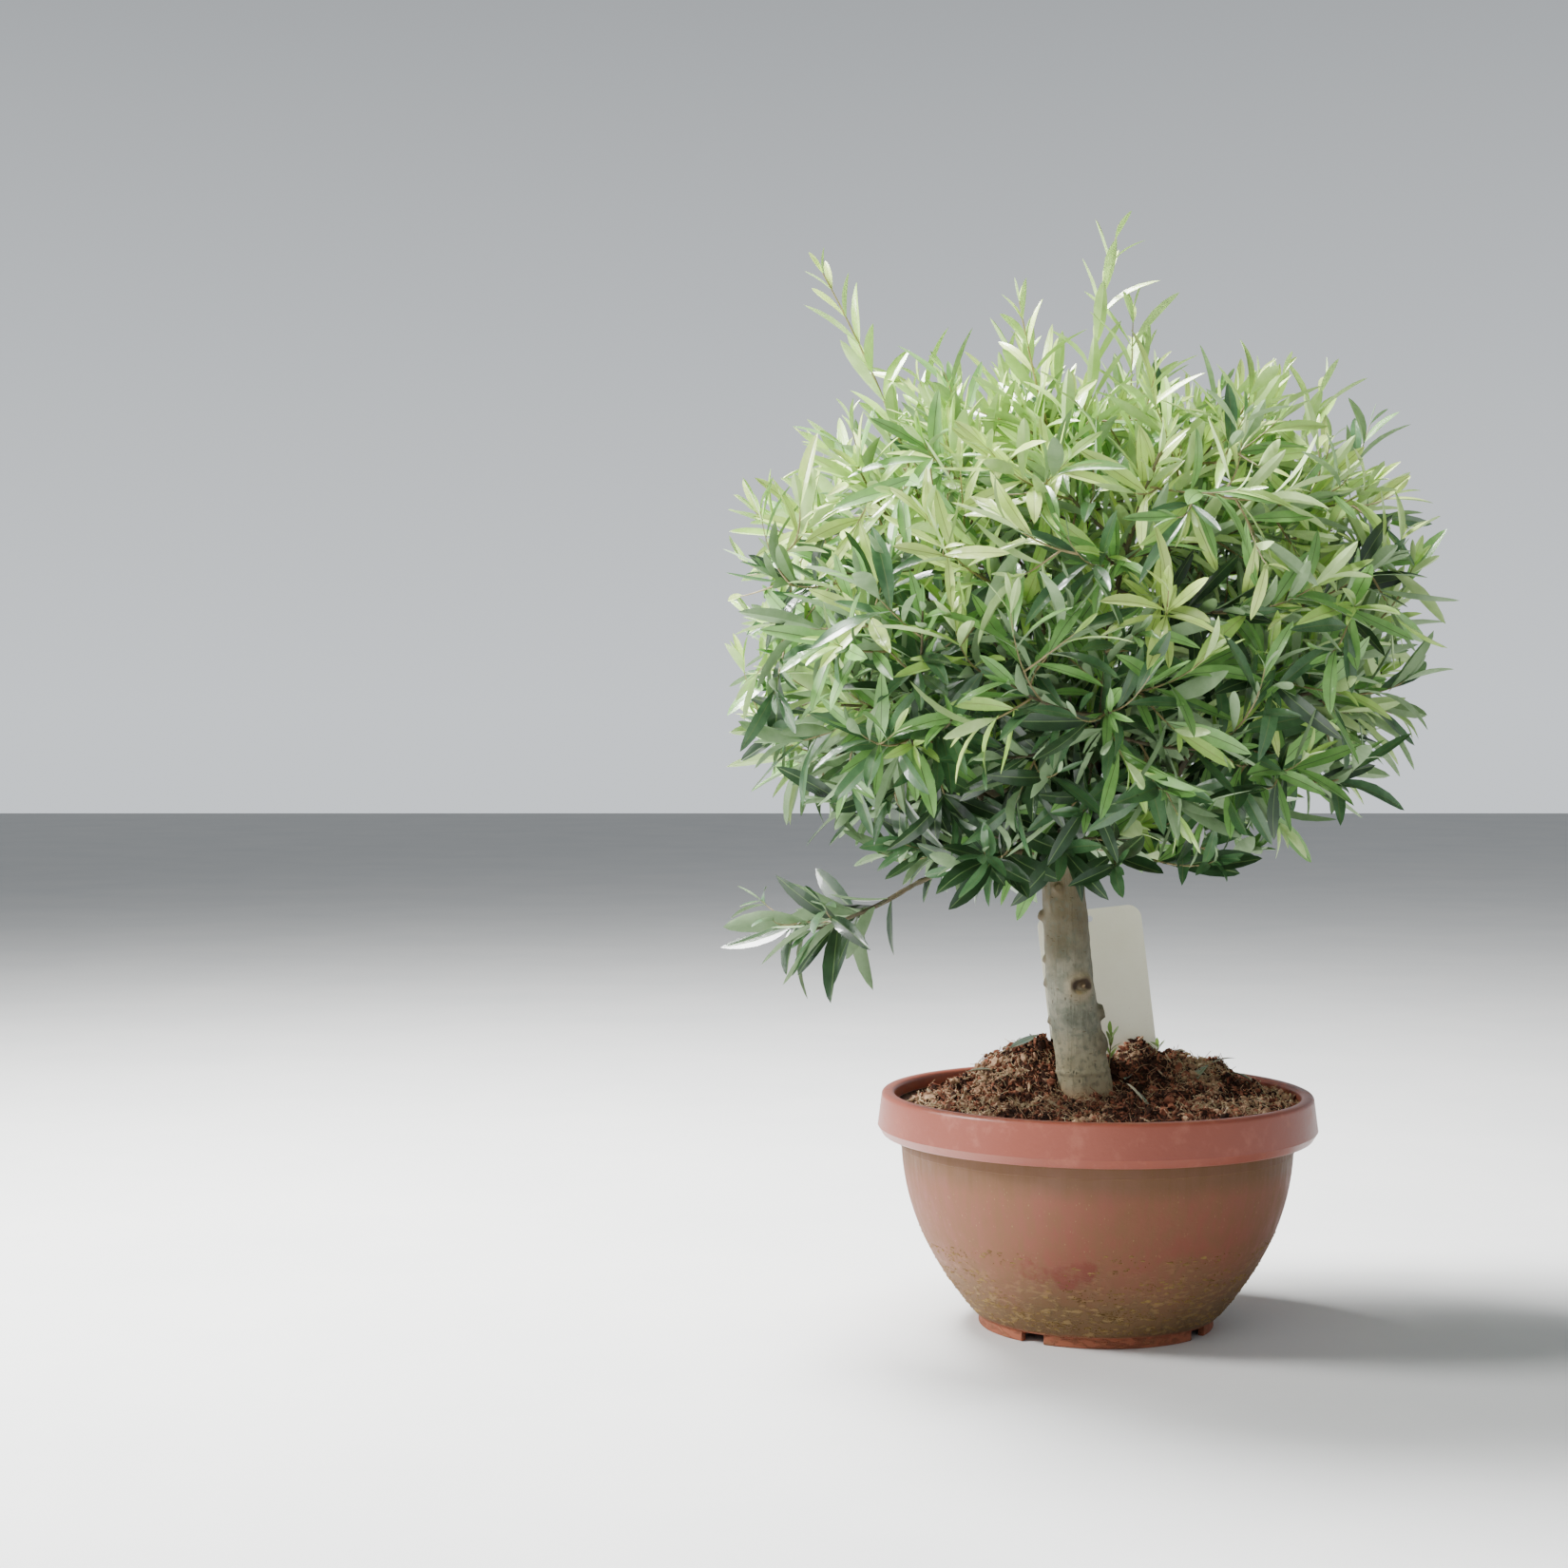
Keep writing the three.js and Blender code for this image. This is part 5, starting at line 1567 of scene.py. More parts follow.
def finer_shoots(number):
    """More shoots for a mass, each from the twig nearest to its tip."""
    random = np.random.default_rng(masses[number]["seed"])
    carriers = list(twigs_of[number])
    tips = [carrier[2] for carrier in carriers]
    places = shoot_places(number, random)
    made = []
    for _ in range(SHOOT_COUNTS[masses[number]["kind"]]):
        drawn = places[random.integers(len(places), size=TIP_CANDIDATES)]
        nearest = np.min(np.linalg.norm(drawn[:, None] - np.array(tips), axis=-1), axis=1)
        tip = drawn[int(np.argmax(nearest))]
        tips.append(tip)
        lines = np.array([bend_at(carrier, np.linspace(0.1, 1, 12)) for carrier in carriers])
        closest = int(np.argmin(np.min(np.linalg.norm(lines - tip, axis=-1), axis=1)))
        shoot = sweep_to(carriers[closest], tip)
        line = bend_at(shoot, (0.5, 0.75, 1))
        in_box = np.all((line > cad_low + BOX_MARGIN) & (line < cad_high - BOX_MARGIN))
        if length_of(shoot) < LONGEST_SHOOT and in_box and np.all(clear_of_limbs(line, TWIG_RADIUS)):
            made.append(shoot)
            carriers.append(shoot)
    return made


def upright_shoots():
    """Short shoots that stand up out of the top of the crown."""
    random = np.random.default_rng(23)
    high = [number for number, mass in enumerate(masses) if mass["kind"] in ("upper", "top")]
    starts = np.array([shoot[2] for number in high for shoot in shoots_of[number]])
    sideways = np.linalg.norm(((starts - CROWN_CENTRE) / CROWN_RADII)[:, :2], axis=1)
    starts = starts[(starts[:, 2] > UPRIGHT_LOWEST) & (sideways < UPRIGHT_WIDEST)]
    starts = starts[random.permutation(len(starts))[:UPRIGHT_COUNT]]
    outward = (starts - CROWN_CENTRE) * UPRIGHT_OUTWARD
    ways = unit(outward + random.normal(size=starts.shape) * UPRIGHT_SPREAD + (0, 0, 1))
    sizes = random.uniform(*UPRIGHT_LENGTHS, len(starts))
    tops = random.uniform(*UPRIGHT_TOPS, len(starts))
    tops[:UPRIGHT_TALL] += TALLER_BY
    tops = np.maximum(tops, starts[:, 2] + UPRIGHT_LEAST)
    sizes = np.minimum(sizes, (tops - starts[:, 2]) / ways[:, 2])
    roots = starts - UPRIGHT_ROOTED * unit(starts - CROWN_CENTRE)
    bows = random.normal(size=starts.shape) * UPRIGHT_BOW * sizes[:, None]
    ends = np.clip(starts + ways * sizes[:, None], cad_low + BOX_MARGIN, cad_high - BOX_MARGIN)
    return [tuple(shoot) for shoot in np.stack([roots, (roots + ends) / 2 + bows, ends], axis=1)]


shoots_of = [finer_shoots(number) for number in range(len(masses))]
uprights = upright_shoots()
print(sum(len(made) for made in shoots_of), "finer shoots and", len(uprights), "upright ones")

# %% [markdown]
# The twigs become tubes that taper to their tips. The first twigs have grey-brown bark, and this
# year's shoots are still green, so there are two meshes with two finishes.

# %% Twig meshes
SHOOT_RADIUS = 0.0011
TIP_RADIUS = 0.0004
OLD_TIP_RADIUS = 0.0009
LONG_SHOOT_RADII = (0.0018, 0.0006)
STEM_RADII = {"spray": SPRAY_THIN, "sprout": STEM_RADIUS * 0.76}
STEM_TIP_RADIUS = TWIG_RADIUS * 0.7

foliage_nodes = [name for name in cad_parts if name.startswith("foliage_")]


def twig_mesh(name, curves, radii, finish, sides, points):
    """Tapering tubes along curves, joined. Radii give the root and the tip of each."""
    shares = np.linspace(0, 1, points)
    lines = np.array([bend_at(curve, shares) for curve in curves])
    radii = np.asarray(radii, dtype=float)
    thickness = radii[:, :1] + (radii[:, 1:] - radii[:, :1]) * shares
    add_piece(name, tubes(lines, thickness, sides), [finish], "olive_bark", foliage_nodes, angle=60)


young_bark, tree, shader = new_finish("young_bark", roughness=0.6, specular=0.35)
clouds = mask_of(tree, "mottle", Scale=60.0, Low=0.4, High=0.6)
grain = mask_of(tree, "mottle", Scale=500.0, Low=0.3, High=0.7)
feed(tree, shader, Base_Color=blend(tree, clouds, paint(126, 114, 78), paint(152, 136, 98)))
feed(tree, shader, Normal=relief(tree, grain, 0.0002))
old_curves, old_radii = [], []
for mass, twigs in zip(masses, twigs_of):
    stem_radius = STEM_RADII.get(mass["kind"], STEM_RADIUS)
    old_curves += twigs
    old_radii += [(stem_radius, STEM_TIP_RADIUS)] + [(TWIG_RADIUS, OLD_TIP_RADIUS)] * (len(twigs) - 1)
young_curves = [shoot for made in shoots_of for shoot in made] + uprights
young_radii = [(SHOOT_RADIUS, TIP_RADIUS)] * len(young_curves)
young_curves += shoots
young_radii += [LONG_SHOOT_RADII] * len(shoots)
twig_mesh("twigs_old", old_curves, old_radii, bark, sides=6, points=12)
twig_mesh("twigs_young", young_curves, young_radii, young_bark, sides=4, points=10)

# %% [markdown]
# ## Leaves
#
# An olive leaf is a narrow lance, four to eight centimetres long and a fifth as wide, with a pale
# rib and a short stalk. Its upper face is dark and glossy and its under face a matt sage. The
# model has six cross-sections of five points: two edges, two points at either side of the
# rib, and one below. So each leaf is a closed thin body with a fold along its rib, and sixty
# triangles are enough, even close up. A dozen variants are arched, folded and twisted in their own ways.

# %% Leaf models
LEAF_STATIONS = np.array([0.05, 0.20, 0.38, 0.58, 0.77, 0.92])
LEAF_WIDTH = 0.190
LEAF_THICKNESS = 0.006
RIB_HALF_WIDTH = 0.0055
STALK_LENGTH = 0.075
STALK_HALF_WIDTH = 0.010
VARIANT_COUNT = 12
UPPER, RIB, UNDER = 0, 1, 2
RING_FINISHES = [UPPER, RIB, UPPER, UNDER, UNDER]
UNDER_SIDES = (3, 4)


def leaf_corners(arch, fold, twist, sway):
    """Corners of a leaf of length 1 along Y with its upper face to +Z."""
    swell = np.sin(pi * LEAF_STATIONS ** 1.18) ** 0.68
    half = np.maximum(LEAF_WIDTH / 2 * swell, STALK_HALF_WIDTH)
    rib = np.minimum(RIB_HALF_WIDTH, 0.45 * half)
    across = np.stack([-half, -rib, rib, half, np.zeros_like(half)], axis=1)
    below = -LEAF_THICKNESS - 0.15 * fold * half
    edge_lift = fold * half
    rise = np.stack([edge_lift, 0 * half, 0 * half, edge_lift, below], axis=1)
    turn = (twist * LEAF_STATIONS)[:, None]
    line_x = sway * LEAF_STATIONS ** 2
    line_z = -arch * LEAF_STATIONS ** 2
    x = line_x[:, None] + across * np.cos(turn) - rise * np.sin(turn)
    z = line_z[:, None] + across * np.sin(turn) + rise * np.cos(turn)
    y = np.broadcast_to(LEAF_STATIONS[:, None], x.shape) * (1 - 0.25 * arch ** 2)
    rings = np.stack([x, y, z], axis=2).reshape(-1, 3)
    root = (0, -STALK_LENGTH, 0)
    tip = (sway, 1 - 0.25 * arch ** 2, -arch)
    return np.vstack([rings, root, tip])


def leaf_faces():
    """Triangles of the leaf and the finish number of each. Its two faces are split alike."""
    last = 5 * (len(LEAF_STATIONS) - 1)
    root, tip = last + 5, last + 6
    triangles, finishes = [], []
    for side, finish in enumerate(RING_FINISHES):
        after = (side + 1) % 5
        strip = [(root, after, side), (last + side, last + after, tip)]
        for ring in range(0, last, 5):
            here, beside = ring + side, ring + after
            if side in UNDER_SIDES:
                strip += [(here, beside, here + 5), (beside, beside + 5, here + 5)]
            else:
                strip += [(here, beside, beside + 5), (here, beside + 5, here + 5)]
        triangles += strip
        finishes += [finish] * len(strip)
    return np.array(triangles), np.array(finishes)


random = np.random.default_rng(3)
arches = np.linspace(-0.10, 0.42, VARIANT_COUNT)
folds = random.uniform(0.12, 0.65, VARIANT_COUNT)
twists = random.uniform(-0.7, 0.7, VARIANT_COUNT)
sways = random.uniform(-0.16, 0.16, VARIANT_COUNT)
leaf_variants = np.array([leaf_corners(*shape) for shape in zip(arches, folds, twists, sways)])
leaf_triangles, leaf_finishes = leaf_faces()
print("leaf model:", len(leaf_triangles), "triangles in", VARIANT_COUNT, "variants")

# %% [markdown]
# Leaves sit on a shoot in opposite pairs, and each pair is turned a quarter from the last. Near the foot
# of the shoot they stand out wide, near its tip they close up round the bud, and they are
# smaller there. Each upper face looks towards the shoot's tip and up to the light. The leaves of
# the sprouts are broad, and those of the low spray are long and hang.
#
# A leaf is kept only where its tip lies inside the crown's skin and above its low edge, off the
# limbs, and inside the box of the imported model. The low growth and the tall shoots may leave
# the skin, and the spray may hang below the edge.

# %% Leaves along shoots
HABITS = {
    "upper": {"length": 0.057, "width": 0.98, "pitch": 0.0142, "bare": 0.20, "droop": 0.00, "splay": 50},
    "top": {"length": 0.055, "width": 0.94, "pitch": 0.0142, "bare": 0.20, "droop": 0.00, "splay": 48},
    "lower": {"length": 0.059, "width": 1.10, "pitch": 0.0148, "bare": 0.20, "droop": 0.06, "splay": 56},
    "sprout": {"length": 0.051, "width": 1.45, "pitch": 0.0120, "bare": 0.10, "droop": 0.08, "splay": 64},
    "spray": {"length": 0.064, "width": 1.30, "pitch": 0.0165, "bare": 0.06, "droop": 0.42, "splay": 48},
    "upright": {"length": 0.054, "width": 0.98, "pitch": 0.0215, "bare": 0.16, "droop": 0.00, "splay": 40},
    "long": {"length": 0.053, "width": 0.98, "pitch": 0.0270, "bare": 0.26, "droop": 0.00, "splay": 34},
}
SPLAY_AT_TIP = 16
SIZE_AT_TIP = 0.55
LEAF_REACH = {"upper": 1.04, "top": 1.01, "lower": 1.08}
NATURAL_FACE = 0.8
LIGHT_FACE = 0.75
OPEN_FACE = 0.9
BOX_SPARE = 0.007
LEAF_TIP_CLEAR = 0.001
LEAF_MIDDLE_CLEAR = 0.003
LAST_PAIR = 0.995
TURN_SPREAD = 0.22
SPLAY_SPREAD = 7
FACE_SPREAD = 0.28
SMALLER_FROM = 0.75
LENGTH_SPREAD = (0.84, 1.12)
# How low the crown hangs, from left to right: places on X and the lowest height there.
LOW_EDGE = ([-0.20, -0.12, -0.07, -0.03, 0.02, 0.16], [0.405, 0.378, 0.360, 0.385, 0.414, 0.425])


def leaves_on(curve, habit, random):
    """Roots, directions, faces and lengths of the leaves on one shoot."""
    pairs = max(2, round(length_of(curve) * (1 - habit["bare"]) / habit["pitch"]))
    steps = (np.arange(pairs) + random.uniform(0.1, 0.6)) / pairs
    shares = np.repeat(habit["bare"] + (1 - habit["bare"]) * steps ** 0.9, 2)
    shares = np.minimum([*shares, 1, 1], LAST_PAIR)
    ages = (shares - habit["bare"]) / (1 - habit["bare"])
    turns = random.uniform(0, 2 * pi) + np.repeat(np.arange(pairs + 1) * pi / 2, 2)
    turns = turns + np.tile([0, pi], pairs + 1) + random.normal(size=len(turns)) * TURN_SPREAD
    splays = habit["splay"] + (SPLAY_AT_TIP - habit["splay"]) * ages ** 1.5
    splays = np.radians(splays + random.normal(size=len(turns)) * SPLAY_SPREAD)
    axes = heading_at(curve, shares)
    rough = np.where(np.abs(axes[:, 2:]) < 0.9, (0.0, 0.0, 1.0), (1.0, 0.0, 0.0))
    first = unit(np.cross(axes, rough))
    sides = np.cos(turns)[:, None] * first + np.sin(turns)[:, None] * np.cross(axes, first)
    along = np.cos(splays)[:, None] * axes + np.sin(splays)[:, None] * sides
    along = unit(along - (0, 0, habit["droop"]) * random.uniform(0.3, 1.7, (len(turns), 1)))
    faces = NATURAL_FACE * unit(axes - along * np.sum(axes * along, axis=1, keepdims=True))
    faces = faces + (0, 0, LIGHT_FACE) + OPEN_FACE * (curve[2] - CROWN_CENTRE)
    faces = faces + random.normal(size=along.shape) * FACE_SPREAD
    faces = unit(faces - along * np.sum(faces * along, axis=1, keepdims=True))
    sizes = 0.78 + 0.44 * np.sin(pi * np.clip(ages, 0, 1) ** 0.8)
    shrunk = 1 - (1 - SIZE_AT_TIP) * (ages - SMALLER_FROM) / (1 - SMALLER_FROM)
    sizes = sizes * np.where(ages > SMALLER_FROM, shrunk, 1)
    lengths = habit["length"] * sizes * random.uniform(*LENGTH_SPREAD, len(turns))
    roots = bend_at(curve, shares)
    return roots, along, faces, lengths, ages


def kept_leaves(roots, along, lengths, kind):
    """Which leaves stay off the limbs and inside the crown. Low and upright shoots may leave it."""
    tips = roots + along * lengths[:, None]
    above = (tips[:, 2] > np.interp(tips[:, 0], *LOW_EDGE)) | (kind == "spray")
    middles = roots + along * lengths[:, None] / 2
    inside = crown_depth(tips) < LEAF_REACH.get(kind, np.inf)
    in_box = np.all((tips > cad_low + BOX_SPARE) & (tips < cad_high - BOX_SPARE), axis=1)
    clear = clear_of_limbs(tips, LEAF_TIP_CLEAR) & clear_of_limbs(middles, LEAF_MIDDLE_CLEAR)
    return above & inside & in_box & clear


print("leaves are kept between", cad_low.round(3), "and", cad_high.round(3))

# %% [markdown]
# Young shoots at the top and outside are yellow-green and the full-grown ones mid green, and the
# tints also carry painted light and shade: the top and outside of the crown get the bright tints as
# painted light, and the inside and underside the deep, bluish ones as painted shade. The height and
# the depth of a shoot in the crown give its tint, with some chance in it, and the last leaves of a
# shoot are one step brighter. The low spray and the sprouts draw from the deep tints as painted
# shade of the crown, and the upright shoots draw mostly from the light ones.

# %% All leaves
TINT_NAMES = ["deep", "blue_green", "mid", "fresh", "yellow_green"]
BRIGHTER_FROM = 0.72
# The spray and sprouts draw deep tints as painted shade; upright shoots draw light ones as young growth and
# painted light.
DRAWN_TINTS = {"spray": [0, 0, 1], "sprout": [0, 0, 1, 2], "upright": [1, 2, 3, 3, 4, 4]}
TINT_FOOT_Z = 0.46
TINT_SPAN = 0.40
TINT_START = 0.15
TINT_PER_SPAN = 3.0
TINT_PER_DEPTH = 1.4
TINT_EVEN_DEPTH = 0.55
TINT_SPREAD = 1.05


def tint_of(curve, kind, random):
    """The number of a shoot's tint, from its place in the crown: brighter high and outside, as painted light,
    darker deep inside, as painted shade.
    """
    if kind in DRAWN_TINTS:
        return int(random.choice(DRAWN_TINTS[kind]))
    height = (curve[2][2] - TINT_FOOT_Z) / TINT_SPAN
    depth = float(crown_depth(curve[2]))
    value = TINT_START + TINT_PER_SPAN * height + TINT_PER_DEPTH * (depth - TINT_EVEN_DEPTH)
    value += random.normal() * TINT_SPREAD
    return int(np.clip(round(value), 0, len(TINT_NAMES) - 1))


def all_leaves():
    """Every leaf of the tree: roots, directions, faces, lengths, tints and widths, each in one array."""
    random = np.random.default_rng(41)
    grown = [(curve, mass["kind"]) for mass, twigs in zip(masses, twigs_of) for curve in twigs]
    grown += [(curve, mass["kind"]) for mass, made in zip(masses, shoots_of) for curve in made]
    grown += [(curve, "upright") for curve in uprights] + [(curve, "long") for curve in shoots]
    parts = []
    for curve, kind in grown:
        roots, along, faces, lengths, ages = leaves_on(curve, HABITS[kind], random)
        tint = tint_of(curve, kind, random)
        tints = np.clip(tint + (ages > BRIGHTER_FROM), 0, len(TINT_NAMES) - 1)
        kept = kept_leaves(roots, along, lengths, kind)
        widths = np.full(len(roots), HABITS[kind]["width"])
        parts.append([part[kept] for part in (roots, along, faces, lengths, tints, widths)])
    return [np.concatenate(part) for part in zip(*parts)]


leaf_roots, leaf_ways, leaf_up, leaf_lengths, leaf_tints, leaf_widths = all_leaves()
print(len(leaf_roots), "leaves, by tint:", np.bincount(leaf_tints))
leaf_spread = np.percentile(1000 * leaf_lengths, [0, 50, 99, 100]).round()
print("leaf lengths in mm, shortest, middle, 99th of 100, longest:", leaf_spread)

# %% [markdown]
# The upper face is a satin leaf skin: a base colour that drifts a little from place to place, with
# fine veins as relief. The under face is paler and dull, because it is covered in tiny scales. The
# rib is a pale yellow-green line.

# %% Finishes of the leaves
# For each tint: the upper face's colour, and the one that it drifts to.
TINT_COLOURS = [
    (paint(26, 50, 24), paint(40, 68, 38)),
    (paint(50, 86, 50), paint(78, 116, 72)),
    (paint(106, 156, 78), paint(132, 180, 100)),
    (paint(156, 200, 90), paint(182, 218, 116)),
    (paint(192, 222, 112), paint(212, 234, 140)),
]
UNDER_OLD = (paint(124, 152, 108), paint(146, 172, 130))
UNDER_YOUNG = (paint(166, 196, 124), paint(188, 214, 146))


def leaf_finish(name, colour, drift, roughness, coat=0.0):
    """A leaf skin that drifts between two colours."""
    finish, tree, shader = new_finish(name, roughness=roughness, specular=0.45)
    clouds = mask_of(tree, "mottle", Scale=42.0, Low=0.36, High=0.64)
    veins = mask_of(tree, "mottle", Scale=700.0, Low=0.3, High=0.7)
    shader.inputs["Coat Weight"].default_value = coat
    feed(tree, shader, Base_Color=blend(tree, clouds, colour, drift), Normal=relief(tree, veins, 0.0001))
    return finish


rib_old = leaf_finish("leaf_rib_old", paint(78, 102, 58), paint(94, 118, 72), 0.5)
rib_young = leaf_finish("leaf_rib_young", paint(146, 166, 92), paint(160, 178, 104), 0.5)
under_old = leaf_finish("leaf_under_old", *UNDER_OLD, 0.75)
under_young = leaf_finish("leaf_under_young", *UNDER_YOUNG, 0.7)
LEAVES_PER_PIECE = 3200


def add_leaves(name, stacked, finishes, nodes):
    """A piece of stacked leaves, whose finishes are those of the upper face, the rib and the under face."""
    count = len(stacked[1]) // len(leaf_triangles)
    add_piece(name, stacked, finishes, "olive_leaf", nodes, np.tile(leaf_finishes, count), angle=40)


def leaf_mesh(name, numbers, finishes, random):
    """The leaves of these numbers as one piece, each a variant turned into its place."""
    shapes = leaf_variants[random.integers(VARIANT_COUNT, size=len(numbers))]
    along, up = leaf_ways[numbers], leaf_up[numbers]
    frames = np.stack([np.cross(along, up), along, up], axis=1)
    slim = np.ones((len(numbers), 1, 3))
    slim[:, 0, 0] = leaf_widths[numbers] * random.uniform(0.86, 1.12, len(numbers))
    shapes = shapes * slim * leaf_lengths[numbers, None, None]
    add_leaves(name, placed(shapes, frames, leaf_roots[numbers], leaf_triangles), finishes, foliage_nodes)


random = np.random.default_rng(17)
for tint, name in enumerate(TINT_NAMES):
    upper = leaf_finish(f"leaf_{name}", *TINT_COLOURS[tint], 0.28, coat=0.35)
    # The light tints take the paler young rib and under face, so these follow the painted light too.
    finishes = [upper, rib_young, under_young] if tint > 2 else [upper, rib_old, under_old]
    numbers = np.flatnonzero(leaf_tints == tint)
    for part, first in enumerate(range(0, len(numbers), LEAVES_PER_PIECE)):
        leaf_mesh(f"leaves_{name}_{part + 1}", numbers[first:first + LEAVES_PER_PIECE], finishes, random)

# %% [markdown]
# A few old leaves lie or lean on the compost, dry and blue-grey or dull green. They are the same
# leaf models. Some are at listed places and the others are scattered.

# %% Fallen leaves
FALLEN_PLACES = [
    (0.037, -0.045), (-0.095, 0.034), (-0.066, 0.036),
    (-0.112, -0.092), (0.147, 0.030), (0.118, 0.050),
]
FALLEN_TURNS = [125, 15, 60, 35, 130, 200]
FALLEN_RISES = [1.3, 0.25, 0.1, 0.1, 0.5, 0.1]
FALLEN_LENGTH = 0.046
FALLEN_MORE = 9
FALLEN_LIFT = 0.0065
FALLEN_TILT = 0.22
FALLEN_SIZES = (0.75, 1.1)

random = np.random.default_rng(29)
more_places, _ = scattered(random, FALLEN_MORE)
spots = np.vstack([FALLEN_PLACES, more_places[:, :2]])
turns = np.radians(np.concatenate([FALLEN_TURNS, random.uniform(0, 360, FALLEN_MORE)]))
heights = np.array([lumpy_height(x, y) for x, y in spots]) + FALLEN_LIFT
rises = np.concatenate([FALLEN_RISES, random.uniform(-0.12, 0.12, FALLEN_MORE)])
ways = unit(np.stack([np.cos(turns), np.sin(turns), rises], axis=1))
ups = unit(random.normal(size=(len(turns), 3)) * FALLEN_TILT + (0, 0, 1))
ups = unit(ups - ways * np.sum(ups * ways, axis=1, keepdims=True))
frames = np.stack([np.cross(ways, ups), ways, ups], axis=1)
shapes = leaf_variants[random.integers(VARIANT_COUNT, size=len(turns))] - (0, 0.5, 0)
lengths = FALLEN_LENGTH * random.uniform(*FALLEN_SIZES, len(turns))[:, None, None]
stacked = placed(shapes * lengths, frames, np.column_stack([spots, heights]), leaf_triangles)
dry_upper = leaf_finish("leaf_dry", paint(122, 146, 142), paint(146, 146, 120), 0.6)
dry_under = leaf_finish("leaf_dry_under", paint(168, 172, 150), paint(184, 176, 148), 0.8)
add_leaves("fallen_leaves", stacked, [dry_upper, rib_old, dry_under], ["soil"])

# %% [markdown]
# Two seedlings have come up behind the trunk: a stalk with a few small leaves of the same
# model, which lean out to all sides.

# %% Seedlings
SEEDLINGS = [
    {"place": (0.014, 0.020), "height": 0.034, "leaves": 7, "length": 0.016},
    {"place": (0.060, 0.040), "height": 0.007, "leaves": 5, "length": 0.013},
]
STALK_LEAN = (0.002, -0.002)
STALK_POINTS = 5
STALK_RADIUS = 0.0006
LOWEST_LEAF = 0.35

random = np.random.default_rng(31)
stalks, parts = [], []
for seedling in SEEDLINGS:
    foot = np.array([*seedling["place"], lumpy_height(*seedling["place"])])
    count = seedling["leaves"]
    climb = (*STALK_LEAN, seedling["height"])
    stalks.append(foot + np.linspace(0, 1, STALK_POINTS)[:, None] * climb)
    turns = 2.4 * np.arange(count) + random.uniform(0, 1, count)
    climbs = random.uniform(0.8, 2.2, count)
    ways = unit(np.stack([np.cos(turns), np.sin(turns), climbs], axis=1))
    ups = unit(np.array((0, 0, 1.0)) - ways * ways[:, 2:])
    frames = np.stack([np.cross(ways, ups), ways, ups], axis=1)
    shapes = leaf_variants[random.integers(VARIANT_COUNT, size=count)] * (1.5, 1, 1) * seedling["length"]
    roots = foot + np.linspace(LOWEST_LEAF, 1, count)[:, None] * climb
    parts.append(np.einsum("ncj,nji->nci", shapes, frames) + roots[:, None])
weed_upper = leaf_finish("weed_leaf", paint(120, 156, 66), paint(150, 184, 92), 0.45)
stacked = copies(np.concatenate(parts), leaf_triangles)
add_leaves("seedling_leaves", stacked, [weed_upper, rib_young, under_young], ["soil"])
stalk_radii = np.full((len(SEEDLINGS), STALK_POINTS), STALK_RADIUS)
stacked = tubes(np.array(stalks), stalk_radii, sides=6)
add_piece("seedling_stalks", stacked, [young_bark], "olive_leaf", ["soil"], angle=50)

# %% [markdown]
# ## Label
#
# A tall plain card stands in the compost behind the trunk. It is stiff coated paper with round
# top corners and a small hole to hang it by. A cube pressed flat is bevelled at its two top
# corners, cut into upright strips and bowed a little, because a real card that stood in the
# open never stays flat.

# %% Label card
CARD_WIDTH = 0.098
CARD_LENGTH = 0.204
CARD_THICKNESS = 0.001
CARD_CORNER = 0.013
CARD_HOLE_RADIUS = 0.003
CARD_HOLE_DROP = 0.009
CARD_PLACE = (0.023, 0.057, 0.172)
CARD_ROLL = -6.5
CARD_LEAN = 3
CARD_BOW = 0.0022
CARD_STRIPS = 12

bpy.ops.object.select_all(action="DESELECT")
bpy.ops.mesh.primitive_cube_add(size=1, location=(0, 0, CARD_LENGTH / 2))
card = bpy.context.object
card.name = card.data.name = "plain_label"
card.scale = (CARD_WIDTH, CARD_THICKNESS, CARD_LENGTH)
bpy.ops.object.transform_apply(location=True, scale=True)
card.data.update()
bpy.ops.object.mode_set(mode="EDIT")
bpy.ops.mesh.select_mode(type="EDGE")
bpy.ops.mesh.select_all(action="DESELECT")
bpy.ops.object.mode_set(mode="OBJECT")
for edge in card.data.edges:
    first, second = (card.data.vertices[number].co for number in edge.vertices)
    at_top = min(first.z, second.z) > CARD_LENGTH / 2
    edge.select = at_top and abs(first.x - second.x) < MERGE_DISTANCE
bpy.ops.object.mode_set(mode="EDIT")
bpy.ops.mesh.bevel(offset=CARD_CORNER, segments=10, affect="EDGES")
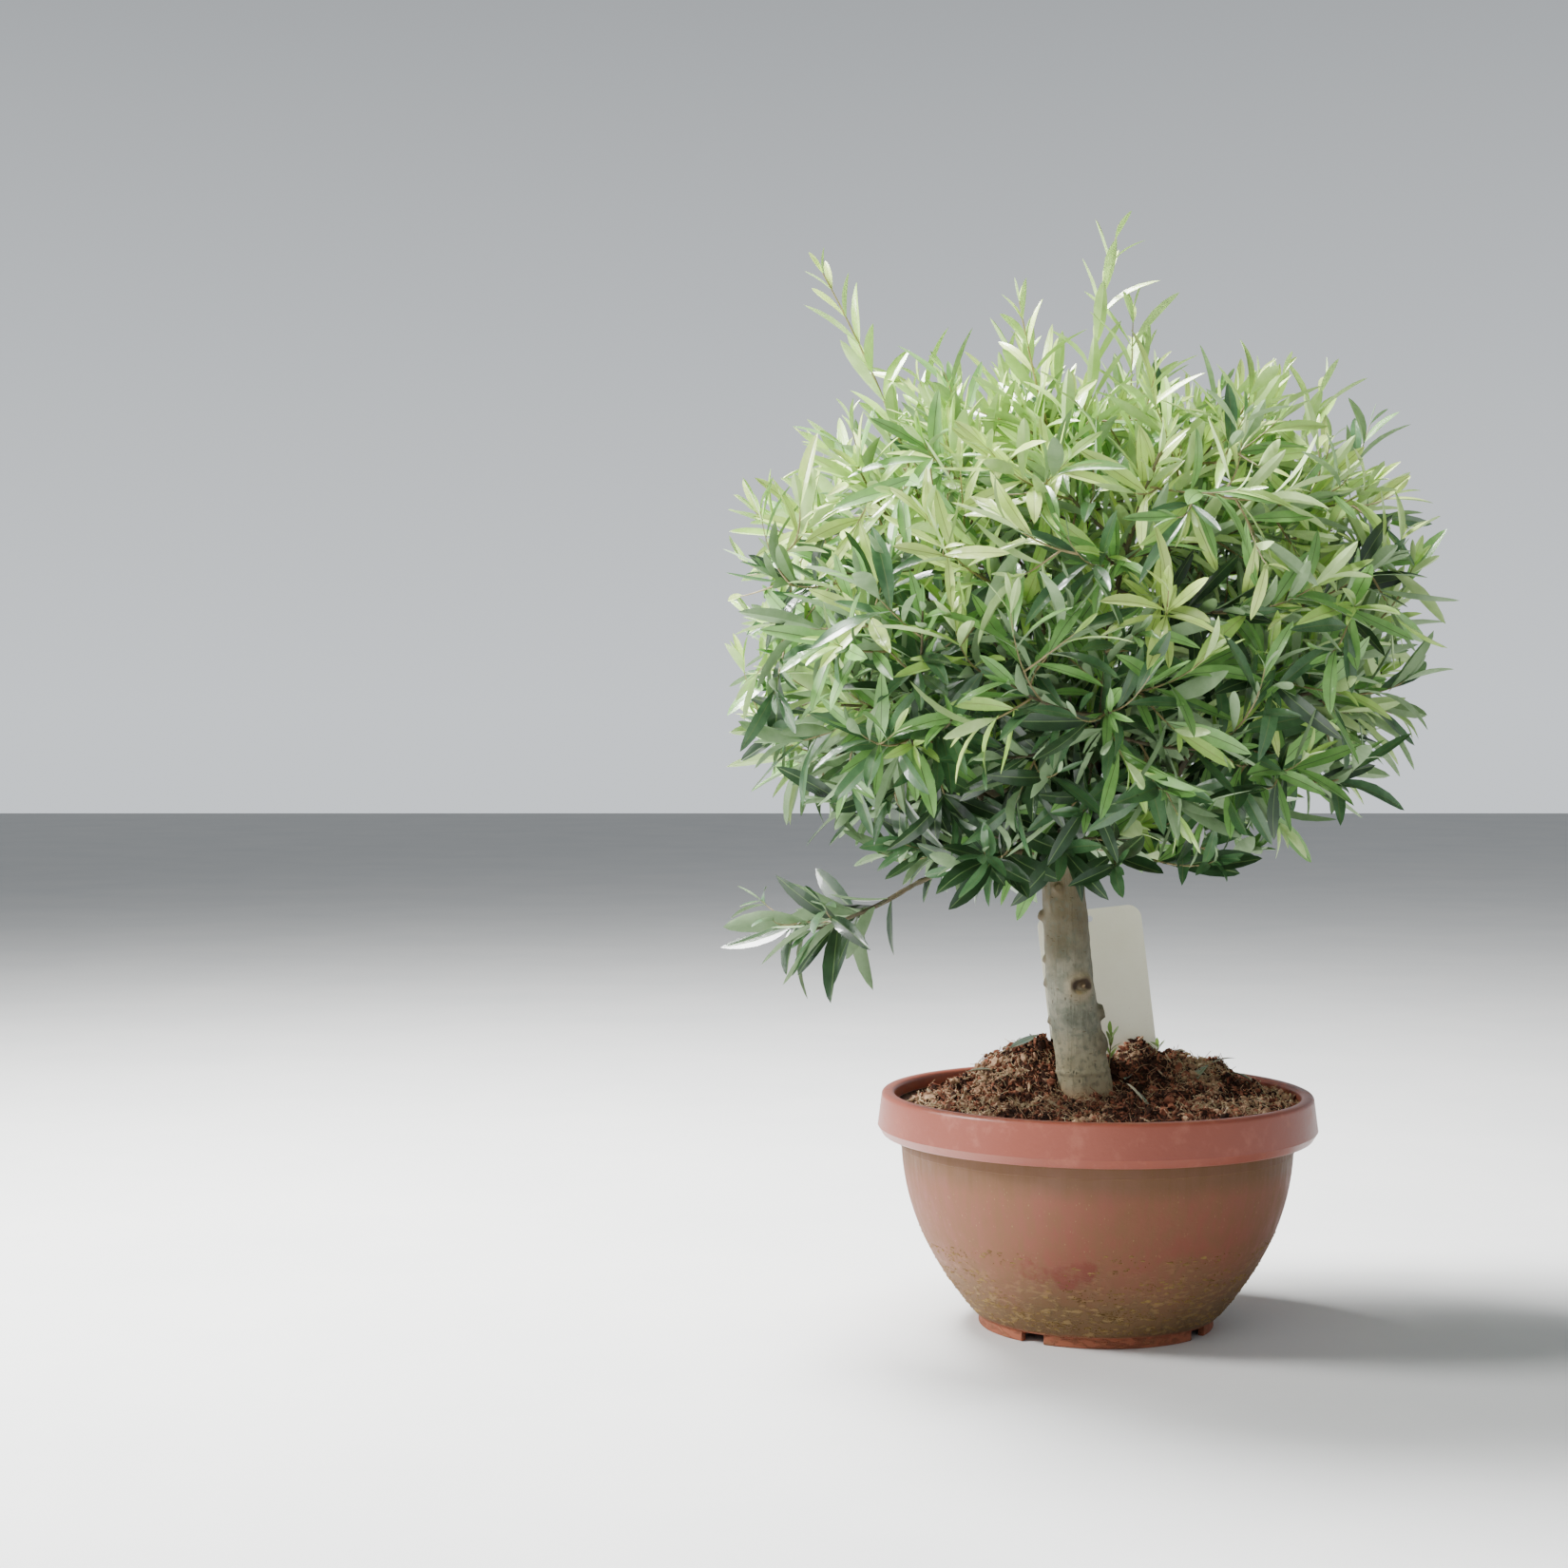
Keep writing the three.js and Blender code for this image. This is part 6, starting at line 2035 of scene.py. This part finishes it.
for place in np.linspace(-CARD_WIDTH / 2, CARD_WIDTH / 2, CARD_STRIPS + 1)[1:-1]:
    bpy.ops.mesh.select_all(action="SELECT")
    bpy.ops.mesh.bisect(plane_co=(place, 0, 0), plane_no=(1, 0, 0))
bpy.ops.object.mode_set(mode="OBJECT")
hole_place = {"location": (0, 0, CARD_LENGTH - CARD_HOLE_DROP), "rotation": (radians(90), 0, 0)}
bpy.ops.mesh.primitive_cylinder_add(vertices=32, radius=CARD_HOLE_RADIUS, depth=0.02, **hole_place)
punch = bpy.context.object
hole = card.modifiers.new("hole", "BOOLEAN")
hole.object = punch
pick(card)
bpy.ops.object.modifier_apply(modifier="hole")
bpy.data.objects.remove(punch)
turn = Matrix.Rotation(radians(CARD_ROLL), 4, "Y") @ Matrix.Rotation(radians(-CARD_LEAN), 4, "X")
for vertex in card.data.vertices:
    across = vertex.co.x / (CARD_WIDTH / 2)
    up = vertex.co.z / CARD_LENGTH
    vertex.co.y += CARD_BOW * (across ** 2 - 0.4) * (0.6 + 0.4 * up)
card.data.transform(Matrix.Translation(CARD_PLACE) @ turn)

# %% [markdown]
# The card's coat is a warm cream satin. Weather has yellowed it in soft clouds, splashes of
# compost have left fine specks near its foot, and the paper's fibres give it a faint grain.

# %% Finish of the label
card_finish, tree, shader = new_finish("cream_card", roughness=0.5)
clouds = mask_of(tree, "mottle", Scale=14.0, Low=0.35, High=0.68)
specks = mask_of(tree, "flecks", Scale=330.0, Size=0.05, Edge=0.06)
low_part = mask_of(tree, "fade", Low=0.32, High=0.24, Ragged=0.06, Scale=30.0)
grain = mask_of(tree, "mottle", Scale=600.0, Low=0.3, High=0.7)
colour = blend(tree, clouds, paint(250, 246, 226), paint(242, 236, 212))
colour = blend(tree, work_out(tree, "MULTIPLY", specks, low_part), colour, paint(150, 120, 90))
feed(tree, shader, Base_Color=colour, Normal=relief(tree, grain, 0.00008))
card.data.materials.append(card_finish)
smooth(card, 40)
settle(card, "label_card", "label_card")

# %% [markdown]
# ## Box of the plain model
#
# The dressed tree has to fit the box of the plain model, so that box is printed once more.

# %% Sizes and the end
print("plain box:", cad_box)
